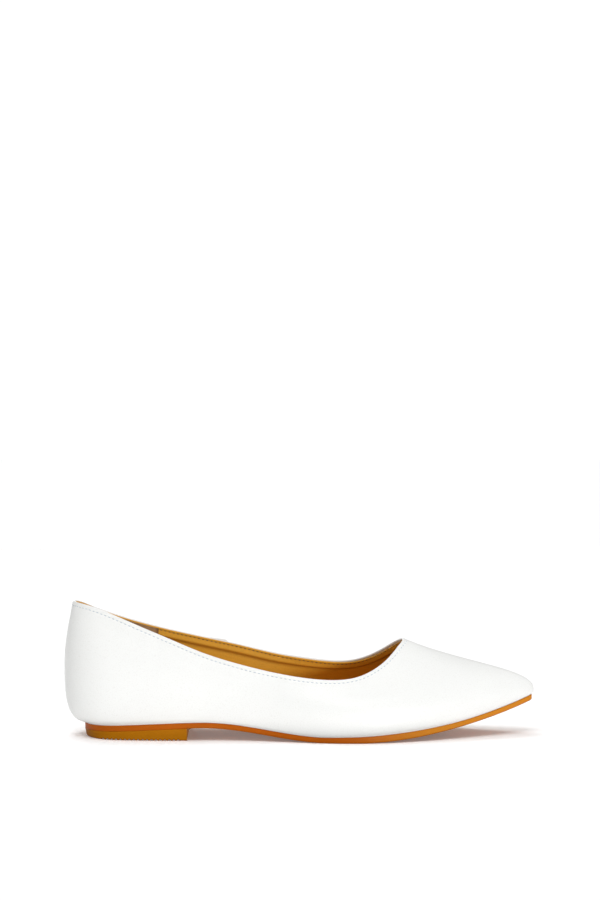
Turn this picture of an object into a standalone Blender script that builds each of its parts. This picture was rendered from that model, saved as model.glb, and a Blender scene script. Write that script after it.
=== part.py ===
"""A pointed toe flat shoe for the right foot, standing on the floor.

It is built as a maker puts it together: a leather upper lasted over a thin sole, an insole inside it and a
low heel block under its seat. The toe points to +X, the outer side of the foot is -Y and the inner side +Y.
Lengths are in metres. Inside the functions x counts from the back of the heel curve, and at the end the
whole shoe is moved so that the origin lies on the floor under the middle of its box.
"""

import math

import bmesh
import bpy
import numpy as np

# Sizes of the whole shoe
SHOE_LENGTH = 0.258  # back of the heel curve to the nose
BALL_WIDTH = 0.0740  # widest part of the sole
HEEL_OVERHANG = 0.0113  # how far the heel curve stands behind the sole
NOSE_OVERHANG = 0.0010  # how far the nose stands in front of the sole

# Sizes of the upper
BACK_HEIGHT = 0.0729  # topline at the back, above the floor
SIDE_HEIGHT = 0.0324  # lowest point of the topline, on the outer side
INNER_RISE = 0.0050  # how much higher the topline runs on the inner side
THROAT_HEIGHT = 0.0521  # front of the topline
VAMP_LENGTH = 0.0717  # throat to nose
BACK_LEAN = 0.0044  # how far the back of the topline leans in over the heel curve
COLLAR_WIDTH = 0.0527  # widest part of the opening
WALL = 0.0018  # leather and lining together
MARGIN = 0.0085  # width that is turned in over the sole
MIDDLE_BACK = 0.0250  # back end of the line that the margin turns towards, from the sole's back
MIDDLE_FRONT = 0.0200  # front end of that line, from the sole's tip
TURN_RADIUS = 0.0012  # rounding where the wall turns in

# Sizes of the bottom
SOLE_THICKNESS = 0.0030
SOLE_BEVEL = 0.0006  # along the lower edge
FORE_SWELL = 0.0008  # how much thicker the sole is ahead of the ball
FORE_SWELL_PLACE = 0.1800  # from the back of the heel curve
FORE_SWELL_REACH = 0.0420  # to either side of that place
HEEL_HEIGHT = 0.0066  # floor to the underside of the sole, at the top of the arch
SEAT_DROP = 0.0023  # how much lower the sole lies at the back
ARCH_TOP = 0.0770  # from the back of the heel curve, as the next two
BALL_BACK = 0.1430
BALL_FRONT = 0.1600
TOE_SPRING = 0.0181  # floor to the underside of the sole, at the tip
SPRING_CURVE = 1.9  # power of the curve from the ball to the tip
BREAST = 0.0684  # front of the heel block, from the back of the heel curve
BREAST_HOLLOW = 0.0025  # how far the middle of the breast is set back
HEEL_TAPER = 0.0017  # how much the heel block draws in towards the floor
HEEL_ROUNDING = 0.0006  # along the floor edge of the heel block
INSOLE_THICKNESS = 0.0028
INSOLE_SHORT = 0.0110  # how far behind the nose the insole ends
INSOLE_CLEARANCE = 0.0006  # between the insole's edge and the wall
INSOLE_BOW = 0.0028  # how far the middle of its front end stands out
GROOVE_PITCH = 0.0024  # ribs under the heel block
GROOVE_WIDTH = 0.0011
GROOVE_DEPTH = 0.0008
GROOVE_START = 0.0230  # first groove, from the back of the heel curve

GAP = 0.0003  # between pieces that touch

# Fineness of the meshes
COLUMNS = 48  # along each side of the upper, the sole and the insole
LOW_ROWS = 5  # from the sole to the fullest line of the wall
HIGH_ROWS = 11  # from there to the topline
HEEL_COLUMNS = 12
HEEL_CROWDING = 1.3  # how much closer columns stand at the back of the heel block
ACROSS = 4  # faces from side to side on the sole, the insole and the heel block
END_CROWDING = 0.60  # how much closer columns stand at the heel and at the nose
FIT_SAMPLES = 360
INSOLE_LEVELS = 7
MERGE = 1e-5
SHARPEST_SMOOTH = math.radians(35)
INSOLE_LOOK = 0.004  # how far to either side the insole keeps clear of the wall

# How far along the sole's edge the inside of the upper reaches, as a share
INNER_REACH = 0.975

# Where the topline's ribs end: a rib that starts at share f along the sole ends at 1 - (1 - f) ** FAN
FAN = 1.6

SOLE_LENGTH = SHOE_LENGTH - HEEL_OVERHANG - NOSE_OVERHANG
COLLAR_LENGTH = SHOE_LENGTH - BACK_LEAN - VAMP_LENGTH

# Outline of the sole. along: share of SOLE_LENGTH from its back. outer, inner: share of BALL_WIDTH from y = 0
SOLE_OUTLINE = (
    # along, outer, inner
    (0.000, -0.015, -0.015),
    (0.016, -0.198, 0.168),
    (0.055, -0.304, 0.275),
    (0.115, -0.345, 0.315),
    (0.190, -0.362, 0.313),
    (0.270, -0.358, 0.280),
    (0.350, -0.368, 0.264),
    (0.430, -0.412, 0.298),
    (0.500, -0.464, 0.372),
    (0.560, -0.498, 0.442),
    (0.620, -0.498, 0.482),
    (0.680, -0.462, 0.474),
    (0.745, -0.386, 0.422),
    (0.810, -0.287, 0.349),
    (0.875, -0.182, 0.273),
    (0.935, -0.078, 0.200),
    (0.980, 0.012, 0.142),
    (1.000, 0.080, 0.080),
)

# Topline. along: share of COLLAR_LENGTH from its back. outer, inner: share of COLLAR_WIDTH from y = 0.
# back, throat: how much of BACK_HEIGHT and THROAT_HEIGHT over SIDE_HEIGHT. rise: share of INNER_RISE
TOPLINE = (
    # along, outer, inner, back, throat, rise
    (0.000, -0.020, -0.020, 1.000, 0.000, 0.00),
    (0.015, -0.180, 0.140, 0.991, 0.000, -0.12),
    (0.050, -0.295, 0.255, 0.967, 0.000, -0.55),
    (0.105, -0.370, 0.335, 0.900, 0.000, -0.82),
    (0.200, -0.432, 0.395, 0.724, 0.000, -0.50),
    (0.300, -0.468, 0.425, 0.532, 0.000, 0.12),
    (0.400, -0.495, 0.435, 0.350, 0.000, 0.78),
    (0.500, -0.518, 0.440, 0.212, 0.000, 1.10),
    (0.600, -0.536, 0.448, 0.105, 0.000, 1.12),
    (0.700, -0.544, 0.454, 0.030, 0.000, 1.14),
    (0.790, -0.522, 0.444, 0.002, 0.000, 1.06),
    (0.860, -0.460, 0.402, 0.000, 0.082, 0.98),
    (0.920, -0.342, 0.325, 0.000, 0.330, 0.90),
    (0.960, -0.218, 0.230, 0.000, 0.620, 0.70),
    (0.988, -0.085, 0.132, 0.000, 0.885, 0.32),
    (1.000, 0.030, 0.030, 0.000, 1.000, 0.00),
)

# Shape of the wall, from the sole to the topline. at: share of the way along the sole's edge, back to tip.
# outer, inner: swell beyond the sole, as share of HEEL_OVERHANG. full: height of the fullest line, as share of
# the wall. low_out, low_up: reach of the curve below that line. rise: reach of the curve above it.
# slope: degrees from level where the wall meets the topline. reach: how far that slope is kept
WALL_SHAPE = (
    # at, outer, inner, full, low_out, low_up, rise, slope, reach
    (0.00, 1.000, 1.000, 0.47, 0.86, 0.62, 0.42, 80.0, 0.36),
    (0.07, 0.740, 0.740, 0.45, 0.82, 0.62, 0.43, 81.0, 0.36),
    (0.13, 0.490, 0.490, 0.42, 0.76, 0.61, 0.45, 82.0, 0.36),
    (0.22, 0.300, 0.360, 0.38, 0.60, 0.60, 0.45, 84.0, 0.36),
    (0.35, 0.170, 0.440, 0.42, 0.55, 0.55, 0.45, 82.0, 0.36),
    (0.50, 0.170, 0.360, 0.40, 0.55, 0.55, 0.48, 70.0, 0.36),
    (0.62, 0.230, 0.260, 0.34, 0.55, 0.60, 0.52, 52.0, 0.38),
    (0.74, 0.230, 0.240, 0.27, 0.55, 0.60, 0.50, 37.0, 0.42),
    (0.85, 0.200, 0.210, 0.21, 0.55, 0.60, 0.42, 27.0, 0.50),
    (0.95, 0.140, 0.140, 0.14, 0.55, 0.60, 0.41, 24.0, 0.46),
    (1.00, 0.090, 0.090, 0.10, 0.55, 0.60, 0.40, 23.0, 0.45),
)

# Colour, roughness and metallic value of each piece
FINISHES = {
    "upper": ((0.90, 0.90, 0.88), 0.42, 0.0),
    "insole": ((0.52, 0.29, 0.10), 0.60, 0.0),
    "outsole": ((0.56, 0.20, 0.03), 0.38, 0.0),
    "heel": ((0.42, 0.19, 0.02), 0.42, 0.0),
}


def spline_slopes(knots, values, closed):
    """Slopes that make the cubic curve through the values turn smoothly. An open one has level ends."""
    count = len(knots) - 1
    gaps = np.diff(knots)
    rises = np.diff(values, axis=0) / gaps[:, None]
    size = count if closed else count + 1
    matrix = np.zeros((size, size))
    wanted = np.zeros((size, values.shape[1]))
    for i in range(size):
        if not closed and i in (0, count):
            matrix[i, i] = 1.0
            continue
        before, after = (i - 1) % count if closed else i - 1, i
        matrix[i, (i - 1) % size] += gaps[after]
        matrix[i, i] += 2 * (gaps[before] + gaps[after])
        matrix[i, (i + 1) % size] += gaps[before]
        wanted[i] = 3 * (gaps[after] * rises[before] + gaps[before] * rises[after])
    slopes = np.linalg.solve(matrix, wanted)
    return np.vstack([slopes, slopes[:1]]) if closed else slopes


def spline(knots, values, closed=False):
    """A function that gives the smooth curve through the values at any place between the knots."""
    knots = np.asarray(knots, float)
    values = np.asarray(values, float).reshape(len(knots), -1)
    slopes = spline_slopes(knots, values, closed)

    def at(places):
        places = np.clip(np.atleast_1d(places), knots[0], knots[-1])
        i = np.clip(np.searchsorted(knots, places, side="right") - 1, 0, len(knots) - 2)
        gap = (knots[i + 1] - knots[i])[:, None]
        t = (places - knots[i])[:, None] / gap
        near = values[i] * (1 + 2 * t) * (1 - t) ** 2 + slopes[i] * gap * t * (1 - t) ** 2
        far = values[i + 1] * t**2 * (3 - 2 * t) + slopes[i + 1] * gap * t**2 * (t - 1)
        return near + far

    return at


def column_spline(rows):
    """The columns of a table as one smooth function of the first column."""
    rows = np.array(rows)
    return spline(rows[:, 0], rows[:, 1:])


def two_sides(outer, inner):
    """The two sides of a closed curve through two rows of points that share their ends, as functions of the
    share of the way along each side, from the back to the front."""
    points = np.vstack([outer, inner[-2:0:-1], outer[:1]])
    steps = np.sqrt(np.linalg.norm(np.diff(points, axis=0), axis=1))
    knots = np.concatenate([[0.0], np.cumsum(steps)])
    curve = spline(knots, points, closed=True)
    front = knots[len(outer) - 1]
    sides = []
    for start, end in ((0.0, front), (knots[-1], front)):
        places = np.linspace(start, end, FIT_SAMPLES)
        samples = curve(places)
        way = np.concatenate([[0.0], np.cumsum(np.linalg.norm(np.diff(samples, axis=0), axis=1))])
        sides.append(lambda shares, p=places, w=way / way[-1]: curve(np.interp(shares, w, p)))
    return sides


def crowded(count):
    """Shares from 0 to 1 that stand closer at both ends of the shoe."""
    even = np.linspace(0.0, 1.0, count + 1)
    return even - END_CROWDING * np.sin(2 * math.pi * even) / (2 * math.pi)


def ease(share):
    """Rises from 0 to 1 with level ends."""
    share = np.clip(share, 0.0, 1.0)
    return share**2 * (3 - 2 * share)


def sole_underside(x):
    """Height of the sole's underside above the floor: seat, arch, level ball and toe spring."""
    arch = HEEL_HEIGHT * ease((BALL_BACK - x) / (BALL_BACK - ARCH_TOP))
    seat = SEAT_DROP * ease((ARCH_TOP - x) / (ARCH_TOP - HEEL_OVERHANG))
    tip = SHOE_LENGTH - NOSE_OVERHANG
    spring = TOE_SPRING * np.clip((x - BALL_FRONT) / (tip - BALL_FRONT), 0.0, None) ** SPRING_CURVE
    return arch - seat + spring


def sole_top(x):
    """Height of the sole's upper face. The sole is a little thicker just ahead of the ball."""
    swell = FORE_SWELL * ease(1 - np.abs(x - FORE_SWELL_PLACE) / FORE_SWELL_REACH)
    return sole_underside(x) + SOLE_THICKNESS + swell


def sole_sides():
    rows = np.array(SOLE_OUTLINE)
    x = HEEL_OVERHANG + rows[:, 0] * SOLE_LENGTH
    outer = np.column_stack([x, rows[:, 1] * BALL_WIDTH])
    inner = np.column_stack([x, rows[:, 2] * BALL_WIDTH])
    return two_sides(outer, inner)


def topline_sides():
    rows = np.array(TOPLINE)
    x = BACK_LEAN + rows[:, 0] * COLLAR_LENGTH
    height = (
        SIDE_HEIGHT
        + rows[:, 3] * (BACK_HEIGHT - SIDE_HEIGHT)
        + rows[:, 4] * (THROAT_HEIGHT - SIDE_HEIGHT)
    )
    outer = np.column_stack([x, rows[:, 1] * COLLAR_WIDTH, height])
    inner = np.column_stack([x, rows[:, 2] * COLLAR_WIDTH, height + rows[:, 5] * INNER_RISE])
    return two_sides(outer, inner)


def ring_shares(shares):
    """Both sides in one ring, the outer from back to tip and the inner from tip to back.

    Each entry is (share, weight of the outer side). The two ends lie midway between the sides.
    """
    outer = [(f, 1.0) for f in shares[1:-1]]
    inner = [(f, 0.0) for f in shares[-2:0:-1]]
    return np.array([(shares[0], 0.5), *outer, (shares[-1], 0.5), *inner])


def outward(ring):
    """Level unit vectors that point out of a closed ring of points."""
    way = np.roll(ring, -1, axis=0) - np.roll(ring, 1, axis=0)
    out = np.column_stack([way[:, 1], -way[:, 0]])
    middle = ring[:, :2].mean(axis=0)
    if np.sum(out * (ring[:, :2] - middle)) < 0:
        out = -out
    return out / np.linalg.norm(out, axis=1)[:, None]


def bezier(a, b, c, d, t):
    return a * (1 - t) ** 3 + 3 * b * t * (1 - t) ** 2 + 3 * c * t**2 * (1 - t) + d * t**3


def upper_rows(ring):
    """The outer face of the upper as rows of points, from the turned-in margin up to the topline."""
    sole, topline, shape = sole_sides(), topline_sides(), column_spline(WALL_SHAPE)
    shares, is_outer = ring[:, 0], ring[:, 1:]
    is_inner = 1 - is_outer
    fanned = 1 - (1 - shares) ** FAN
    foot = is_outer * sole[0](shares) + is_inner * sole[1](shares)
    top = is_outer * topline[0](fanned) + is_inner * topline[1](fanned)
    swell_outer, swell_inner, full, low_out, low_up, rise, slope, reach = shape(shares).T[:, :, None]
    swell = HEEL_OVERHANG * (is_outer * swell_outer + is_inner * swell_inner)
    slope = np.radians(slope)

    out = np.column_stack([outward(foot), np.zeros(len(foot))])
    up = np.array([0.0, 0.0, 1.0])
    foot = np.column_stack([foot, sole_top(foot[:, 0]) + GAP])
    wall_height = top[:, 2:] - foot[:, 2:]
    fullest = foot + out * swell + up * full * wall_height

    turn = foot + up * TURN_RADIUS
    rows = [foot - out * TURN_RADIUS]
    rows.append(foot - (out - up) * TURN_RADIUS * (1 - math.sqrt(0.5)))
    low = fullest[:, 2:] - turn[:, 2:]
    for t in np.linspace(0.0, 1.0, LOW_ROWS + 1)[:-1]:
        rows.append(
            bezier(turn, turn + out * swell * low_out, fullest - up * low * low_up, fullest, t)
        )

    level = fullest - top
    level[:, 2] = 0.0
    level /= np.linalg.norm(level, axis=1)[:, None]
    distance = np.linalg.norm(fullest - top, axis=1)[:, None]
    arrive = top + (level * np.cos(slope) - up * np.sin(slope)) * reach * distance
    leave = fullest + up * rise * (top[:, 2:] - fullest[:, 2:])
    for t in np.linspace(0.0, 1.0, HIGH_ROWS + 1):
        rows.append(bezier(fullest, leave, arrive, top, t))
    return np.array(rows), foot, out


def faces_out(rows):
    """Unit vectors square to the surface that rings of points span, pointing out of the shoe."""
    round_way = np.roll(rows, -1, axis=1) - np.roll(rows, 1, axis=1)
    up_way = np.gradient(rows, axis=0)
    out = np.cross(round_way, up_way)
    return out / np.linalg.norm(out, axis=2)[:, :, None]


def margin_row(foot):
    """The free edge of what is turned in: towards the middle line, and no further than half way to it."""
    outer, inner = sole_sides()
    x = np.clip(foot[:, 0], HEEL_OVERHANG + MIDDLE_BACK, SHOE_LENGTH - NOSE_OVERHANG - MIDDLE_FRONT)
    shares = np.linspace(0.0, 1.0, FIT_SAMPLES)
    middle = np.interp(x, outer(shares)[:, 0], (outer(shares)[:, 1] + inner(shares)[:, 1]) / 2)
    to_middle = np.column_stack([x, middle]) - foot[:, :2]
    distance = np.linalg.norm(to_middle, axis=1)[:, None]
    edge = foot[:, :2] + to_middle / distance * np.minimum(MARGIN, distance / 2)
    return np.column_stack([edge, sole_top(edge[:, 0]) + GAP])


def shell_rows(shares):
    """Outer and inner face of the whole upper, each as rings of points from the margin to the topline.

    The inner face stops short of the nose, where the toe puff fills the point. The sole's edge beside it and
    the level directions out of the shoe there come with it.
    """
    outer, outer_foot, _ = upper_rows(ring_shares(shares))
    lined, foot, out = upper_rows(ring_shares(shares * INNER_REACH))
    thickness_way = faces_out(lined)
    thickness_way[: LOW_ROWS + 2] = out
    inner = lined - thickness_way * WALL
    corner = foot - out * WALL
    corner[:, 2] = sole_top(corner[:, 0]) + GAP + WALL
    inner[:2] = corner
    inner = np.where(inner[:, :, 2:] < corner[:, 2:], corner, inner)
    outer = np.vstack([margin_row(outer_foot)[None], outer])
    inner = np.vstack([(margin_row(foot) + [0.0, 0.0, WALL])[None], inner])
    return outer, inner, foot, out


def new_object(name, bm):
    """A named object with its finish, shaded smooth up to its real edges."""
    bmesh.ops.remove_doubles(bm, verts=bm.verts, dist=MERGE)
    bmesh.ops.dissolve_degenerate(bm, edges=bm.edges, dist=MERGE / 10)
    bmesh.ops.recalc_face_normals(bm, faces=bm.faces)
    mesh = bpy.data.meshes.new(name)
    bm.to_mesh(mesh)
    bm.free()
    mesh.shade_smooth()
    mesh.set_sharp_from_angle(angle=SHARPEST_SMOOTH)
    obj = bpy.data.objects.new(name, mesh)
    colour, roughness, metallic = FINISHES[name]
    material = bpy.data.materials.new(name)
    material.use_nodes = True
    shader = material.node_tree.nodes["Principled BSDF"]
    shader.inputs["Base Color"].default_value = (*colour, 1.0)
    shader.inputs["Roughness"].default_value = roughness
    shader.inputs["Metallic"].default_value = metallic
    mesh.materials.append(material)
    bpy.context.scene.collection.children["pointed_flat"].objects.link(obj)
    return obj


def add_rings(bm, rings):
    """Bands of faces between rings of points, each closed on itself. It returns the vertices of each ring."""
    made = [[bm.verts.new(point) for point in ring] for ring in rings]
    for low, high in zip(made, made[1:]):
        for i in range(len(low)):
            j = (i + 1) % len(low)
            bm.faces.new((low[i], low[j], high[j], high[i]))
    return made


def build_upper():
    outer, inner, _, _ = shell_rows(crowded(COLUMNS))
    bm = bmesh.new()
    add_rings(bm, [*outer, *inner[::-1], outer[0]])
    return new_object("upper", bm)


def add_plate(bm, outer, inner, layers, front=()):
    """A closed plate between two side curves that run from the back to the front.

    layers: (how far the edge is drawn in, function of x that gives the height), from the bottom up.
    front: points between the front ends of the sides, where these stay apart.
    """
    last, crossed = len(outer) - 1, len(front) > 0
    ring = np.vstack([outer, *front, inner[:0:-1]] if crossed else [outer, inner[-2:0:-1]])
    out = outward(ring)
    if crossed:
        out[last : last + len(front) + 2, 0] = 0.0
        out[last + 1 : last + len(front) + 1] = 0.0
    rings = []
    for inset, height in layers:
        edge = ring - out * inset
        rings.append(np.column_stack([edge, height(edge[:, 0])]))
    made = add_rings(bm, rings)
    for verts, (_, height) in ((made[0], layers[0]), (made[-1], layers[-1])):
        lines = [[verts[0]] * (ACROSS + 1)]
        for i in range(1, last + 1):
            line = [verts[i]]
            for k in range(1, ACROSS):
                point = verts[i].co.lerp(verts[-i].co, k / ACROSS)
                point.z = float(height(np.array([point.x]))[0])
                line.append(bm.verts.new(point))
            lines.append(line + [verts[-i]])
        lines[-1] = verts[last : last + ACROSS + 1] if crossed else [verts[last]] * (ACROSS + 1)
        for one, two in zip(lines, lines[1:]):
            for k in range(ACROSS):
                corners = dict.fromkeys((one[k], one[k + 1], two[k + 1], two[k]))
                bm.faces.new(list(corners))


def bowed(a, b, bow):
    """Points between two corners, on a curve that stands out to the front by bow."""
    shares = np.linspace(0.0, 1.0, ACROSS + 1)[1:-1, None]
    return a * (1 - shares) + b * shares + 4 * shares * (1 - shares) * np.array([bow, 0.0])


def build_outsole():
    outer, inner = sole_sides()
    shares = crowded(COLUMNS)
    bm = bmesh.new()
    add_plate(
        bm,
        outer(shares),
        inner(shares),
        [
            (SOLE_BEVEL, sole_underside),
            (0.0, lambda x: sole_underside(x) + SOLE_BEVEL),
            (0.0, sole_top),
        ],
    )
    return new_object("outsole", bm)


def build_insole():
    """The insole lies on the turned-in margin and keeps clear of the wall all round."""
    _, wall, foot, out = shell_rows(crowded(COLUMNS))
    base = 2 * GAP + WALL
    levels = np.linspace(base - GAP, base + INSOLE_THICKNESS + GAP, INSOLE_LEVELS)
    near = []
    for rib in wall[2:].transpose(1, 0, 2):
        heights = rib[:, 2] - sole_top(rib[:, 0])
        near.append([[np.interp(h, heights, rib[:, axis]) for axis in (0, 1)] for h in levels])
    near = np.array(near).reshape(-1, 2)
    edge = []
    for start, way in zip(foot[:, :2], out[:, :2]):
        sideways = np.abs((near - start) @ [-way[1], way[0]])
        reach = (near - start) @ way
        reach = reach[(sideways < INSOLE_LOOK) & (reach > -INSOLE_LOOK)].min()
        edge.append(start + way * (reach - INSOLE_CLEARANCE))
    edge = np.array(edge)
    count = int(np.sum(foot[: COLUMNS + 1, 0] < SHOE_LENGTH - INSOLE_SHORT))
    outer, inner = edge[:count], np.vstack([edge[:1], edge[:-count:-1]])
    bm = bmesh.new()
    add_plate(
        bm,
        outer,
        inner,
        [
            (0.0, lambda x: sole_top(x) + base),
            (0.0, lambda x: sole_top(x) + base + INSOLE_THICKNESS),
        ],
        bowed(outer[-1], inner[-1], INSOLE_BOW),
    )
    return new_object("insole", bm)


def build_heel():
    """The heel block follows the sole's edge back from the breast, and has ribs across its foot."""
    outer, inner = sole_sides()
    fine = np.linspace(0.0, 1.0, FIT_SAMPLES)
    ends = [np.interp(BREAST, side(fine)[:, 0], fine) for side in (outer, inner)]
    spacing = np.linspace(0.0, 1.0, HEEL_COLUMNS + 1) ** HEEL_CROWDING
    sides = [side(spacing * end) for side, end in zip((outer, inner), ends)]
    bm = bmesh.new()
    add_plate(
        bm,
        *sides,
        [
            (HEEL_TAPER + HEEL_ROUNDING, lambda x: np.zeros(len(x))),
            (HEEL_TAPER, lambda x: np.full(len(x), HEEL_ROUNDING)),
            (0.0, lambda x: sole_underside(x) - GAP),
        ],
        bowed(sides[0][-1], sides[1][-1], -BREAST_HOLLOW),
    )
    bmesh.ops.triangulate(bm, faces=bm.faces)
    heel = new_object("heel", bm)
    cut_grooves(heel)
    return heel


def cut_grooves(heel):
    count = int((BREAST - BREAST_HOLLOW - GROOVE_WIDTH - GROOVE_START) / GROOVE_PITCH) + 1
    bm = bmesh.new()
    for i in range(count):
        made = bmesh.ops.create_cube(bm, size=1.0)["verts"]
        bmesh.ops.scale(bm, vec=(GROOVE_WIDTH, BALL_WIDTH, 2 * GROOVE_DEPTH), verts=made)
        bmesh.ops.translate(bm, vec=(GROOVE_START + i * GROOVE_PITCH, 0.0, 0.0), verts=made)
    mesh = bpy.data.meshes.new("heel_grooves")
    bm.to_mesh(mesh)
    bm.free()
    cutter = bpy.data.objects.new("heel_grooves", mesh)
    cutter.hide_render = True
    cutter.display_type = "WIRE"
    bpy.context.scene.collection.children["cutters"].objects.link(cutter)
    cut = heel.modifiers.new("grooves", "BOOLEAN")
    cut.operation = "DIFFERENCE"
    cut.object = cutter


def centre_on_floor():
    """Moves the meshes so that the origin lies on the floor, under the middle of the shoe's box."""
    meshes = [o.data for o in bpy.data.objects if o.type == "MESH"]
    shown = [o.data for o in bpy.data.objects if o.type == "MESH" and not o.hide_render]
    points = np.array([v.co for mesh in shown for v in mesh.vertices])
    middle = (points.min(axis=0) + points.max(axis=0)) / 2
    for mesh in meshes:
        for v in mesh.vertices:
            v.co.x -= middle[0]
            v.co.y -= middle[1]


def main():
    for obj in list(bpy.data.objects):
        bpy.data.objects.remove(obj)
    for name in ("pointed_flat", "cutters"):
        bpy.context.scene.collection.children.link(bpy.data.collections.new(name))
    build_upper()
    build_outsole()
    build_insole()
    build_heel()
    centre_on_floor()


main()
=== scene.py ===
"""The looks of a pointed flat shoe for the right foot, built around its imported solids.

The wall of the shoe follows the same last as the solids, only finer. Inside the functions x counts from the
back of the heel curve and y from the sole's middle line, and each finished piece is moved into the frame.
Lengths are in metres. The outer side of the foot is -Y, the inner side +Y, and the toe points to +X.
"""

import math

import bpy
import numpy as np
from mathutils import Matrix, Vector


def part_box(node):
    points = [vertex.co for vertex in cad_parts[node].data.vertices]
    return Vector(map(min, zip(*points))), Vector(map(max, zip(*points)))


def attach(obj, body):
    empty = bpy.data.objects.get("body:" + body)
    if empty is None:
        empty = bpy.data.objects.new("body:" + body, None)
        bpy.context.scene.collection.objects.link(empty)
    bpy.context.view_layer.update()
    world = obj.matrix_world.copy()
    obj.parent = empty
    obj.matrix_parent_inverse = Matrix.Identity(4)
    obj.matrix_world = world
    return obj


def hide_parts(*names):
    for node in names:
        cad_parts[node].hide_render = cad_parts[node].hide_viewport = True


bl_info = {
    "name": "Pointed flat shoe",
    "version": (1, 0, 0),
    "blender": (4, 5, 0),
    "location": "View3D > Sidebar > Pointed flat",
    "description": "Leather, lining, stitching and sole of a pointed flat shoe, around its packed solids",
    "category": "Object",
}

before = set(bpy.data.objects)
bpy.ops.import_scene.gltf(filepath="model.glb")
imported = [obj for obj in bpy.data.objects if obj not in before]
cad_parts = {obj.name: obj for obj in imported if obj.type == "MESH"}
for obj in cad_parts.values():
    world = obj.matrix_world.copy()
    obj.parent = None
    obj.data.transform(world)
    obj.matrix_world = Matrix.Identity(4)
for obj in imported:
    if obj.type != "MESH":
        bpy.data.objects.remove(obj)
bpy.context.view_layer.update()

# The last: sizes of the whole shoe and of its upper
SHOE_LENGTH = 0.258
BALL_WIDTH = 0.0740
HEEL_OVERHANG = 0.0113
NOSE_OVERHANG = 0.0010
BACK_HEIGHT = 0.0729
SIDE_HEIGHT = 0.0324
INNER_RISE = 0.0050
THROAT_HEIGHT = 0.0521
VAMP_LENGTH = 0.0717
BACK_LEAN = 0.0044
COLLAR_WIDTH = 0.0527
WALL = 0.0018
MARGIN = 0.0085
MIDDLE_BACK = 0.0250
MIDDLE_FRONT = 0.0200
TURN_RADIUS = 0.0006
LEATHER_LIFT = 0.00004  # of the leather over the sole, which it is cemented to

# The last: sizes of the bottom
SOLE_THICKNESS = 0.0030
FORE_SWELL = 0.0008
FORE_SWELL_PLACE = 0.1800
FORE_SWELL_REACH = 0.0420
HEEL_HEIGHT = 0.0066
SEAT_DROP = 0.0023
ARCH_TOP = 0.0770
BALL_BACK = 0.1430
BALL_FRONT = 0.1600
TOE_SPRING = 0.0181
SPRING_CURVE = 1.9
BREAST = 0.0684
BREAST_HOLLOW = 0.0025
HEEL_TAPER = 0.0017
INSOLE_THICKNESS = 0.0028
INSOLE_SHORT = 0.0110
INSOLE_BOW = 0.0028
GROOVE_PITCH = 0.0024
GROOVE_WIDTH = 0.0011
GROOVE_DEPTH = 0.0008
GROOVE_START = 0.0230
GAP = 0.0003
END_CROWDING = 0.60
INNER_REACH = 0.975
FAN = 1.6
SOLE_LENGTH = SHOE_LENGTH - HEEL_OVERHANG - NOSE_OVERHANG
COLLAR_LENGTH = SHOE_LENGTH - BACK_LEAN - VAMP_LENGTH

# The outer topline of the soft leather hangs this much lower beside the heel counter
OUTER_SAG = 0.0005
SAG_PLACE, SAG_REACH = 0.030, 0.022

# Inside the wall the pieces follow the ribs of the whole wall near the topline, and short ribs lower down
BLEND_FROM = 0.0065
BLEND_OVER = 0.0160

# The ridge from the throat to the nose is rounded over this many ribs, wider near the throat than at the nose
RIDGE_RIBS = 75
RIDGE_WIDE = 16.0
RIDGE_TIGHT = 10.0
RIDGE_FADE = 16  # rows over which the wide rounding gives way to the tight one
RIDGE_END = 6  # rows from there to the fullest line of the wall
FOOT_ROWS = 7  # rows above the sole that aren't rounded in full

# Leather, lining and heel grip
SEAM_SLANT = 0.10
SEAM_STEP = 0.00040
SEAM_RISE = 0.00080
SEAM_ROW = 0.0014  # from the seam to the stitches beside it
THROAT_DROP = 0.0009
THROAT_FROM, THROAT_OVER = 0.150, 0.025
BARE_GAP = 0.00003  # between two layers that are glued together
GRIP_LIFT = 0.0005
GRIP_THIN, GRIP_THICK = 0.00008, 0.00042
THREAD = 0.00042
OUTER_STITCH, INNER_STITCH = 0.70, 0.66  # length of a stitch, as share of the pitch
BESIDE_GRIP = 3  # ribs from the edge of the heel grip to its row of stitches
THREAD_LIFT = 0.00006
LINING_THREAD_LIFT = 0.00010
GRIP_THREAD_LIFT = 0.00055

# Relief of the leather: how far it stands out or is drawn in
PUFF = 0.00012  # between the topline and the outer row of stitches
SEWN_IN = 0.00022  # at the outer row
FOLD_SHOWS = 0.00006  # over the folded leather inside
COUNTER_EDGE = 0.00030  # at the front edge of the heel counter
COUNTER_FRONT = 0.0530
PULLED = 0.00005  # ripples near the sole, where the leather was pulled over the last
TROUGH = 0.00020  # beside the overlap at the side seam

# Relief of the lining
FOLD_PROUD = 0.00040  # over the folded leather
LINING_SEWN_IN = 0.00018
LINING_SOFT = 0.00025  # between the row of stitches and the end of the fold
LINING_CREASE = 0.00025  # just under the fold

# Insole: its soft edge, the swell of its middle, how much its sides sink, and the hollow under the heel
INSOLE_EDGE = 0.0014
CUSHION = 0.00035
SIDES_SINK = 0.0004
HEEL_HOLLOW = 0.0006
INSOLE_CLEAR = 0.0002  # from the lining

# Frame x from which the sole's edge grows paler towards the toe, and where it has done so
PALER_OVER = (0.020, 0.075)

LINING_STEPS = (
    0.0, 0.0003, 0.0006, 0.0009, 0.0012, 0.0015, 0.0018, 0.0022, 0.0026, 0.0029,
    0.0031, 0.0033, 0.0035, 0.0037, 0.0039, 0.0042, 0.0047, 0.0055, 0.0065,
)
LEATHER_STEPS = (
    0.0, 0.0003, 0.0006, 0.0009, 0.0012, 0.0015, 0.0018,
    0.0021, 0.0025, 0.0030, 0.0036, 0.0044, 0.0052, 0.0060,
)

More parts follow.
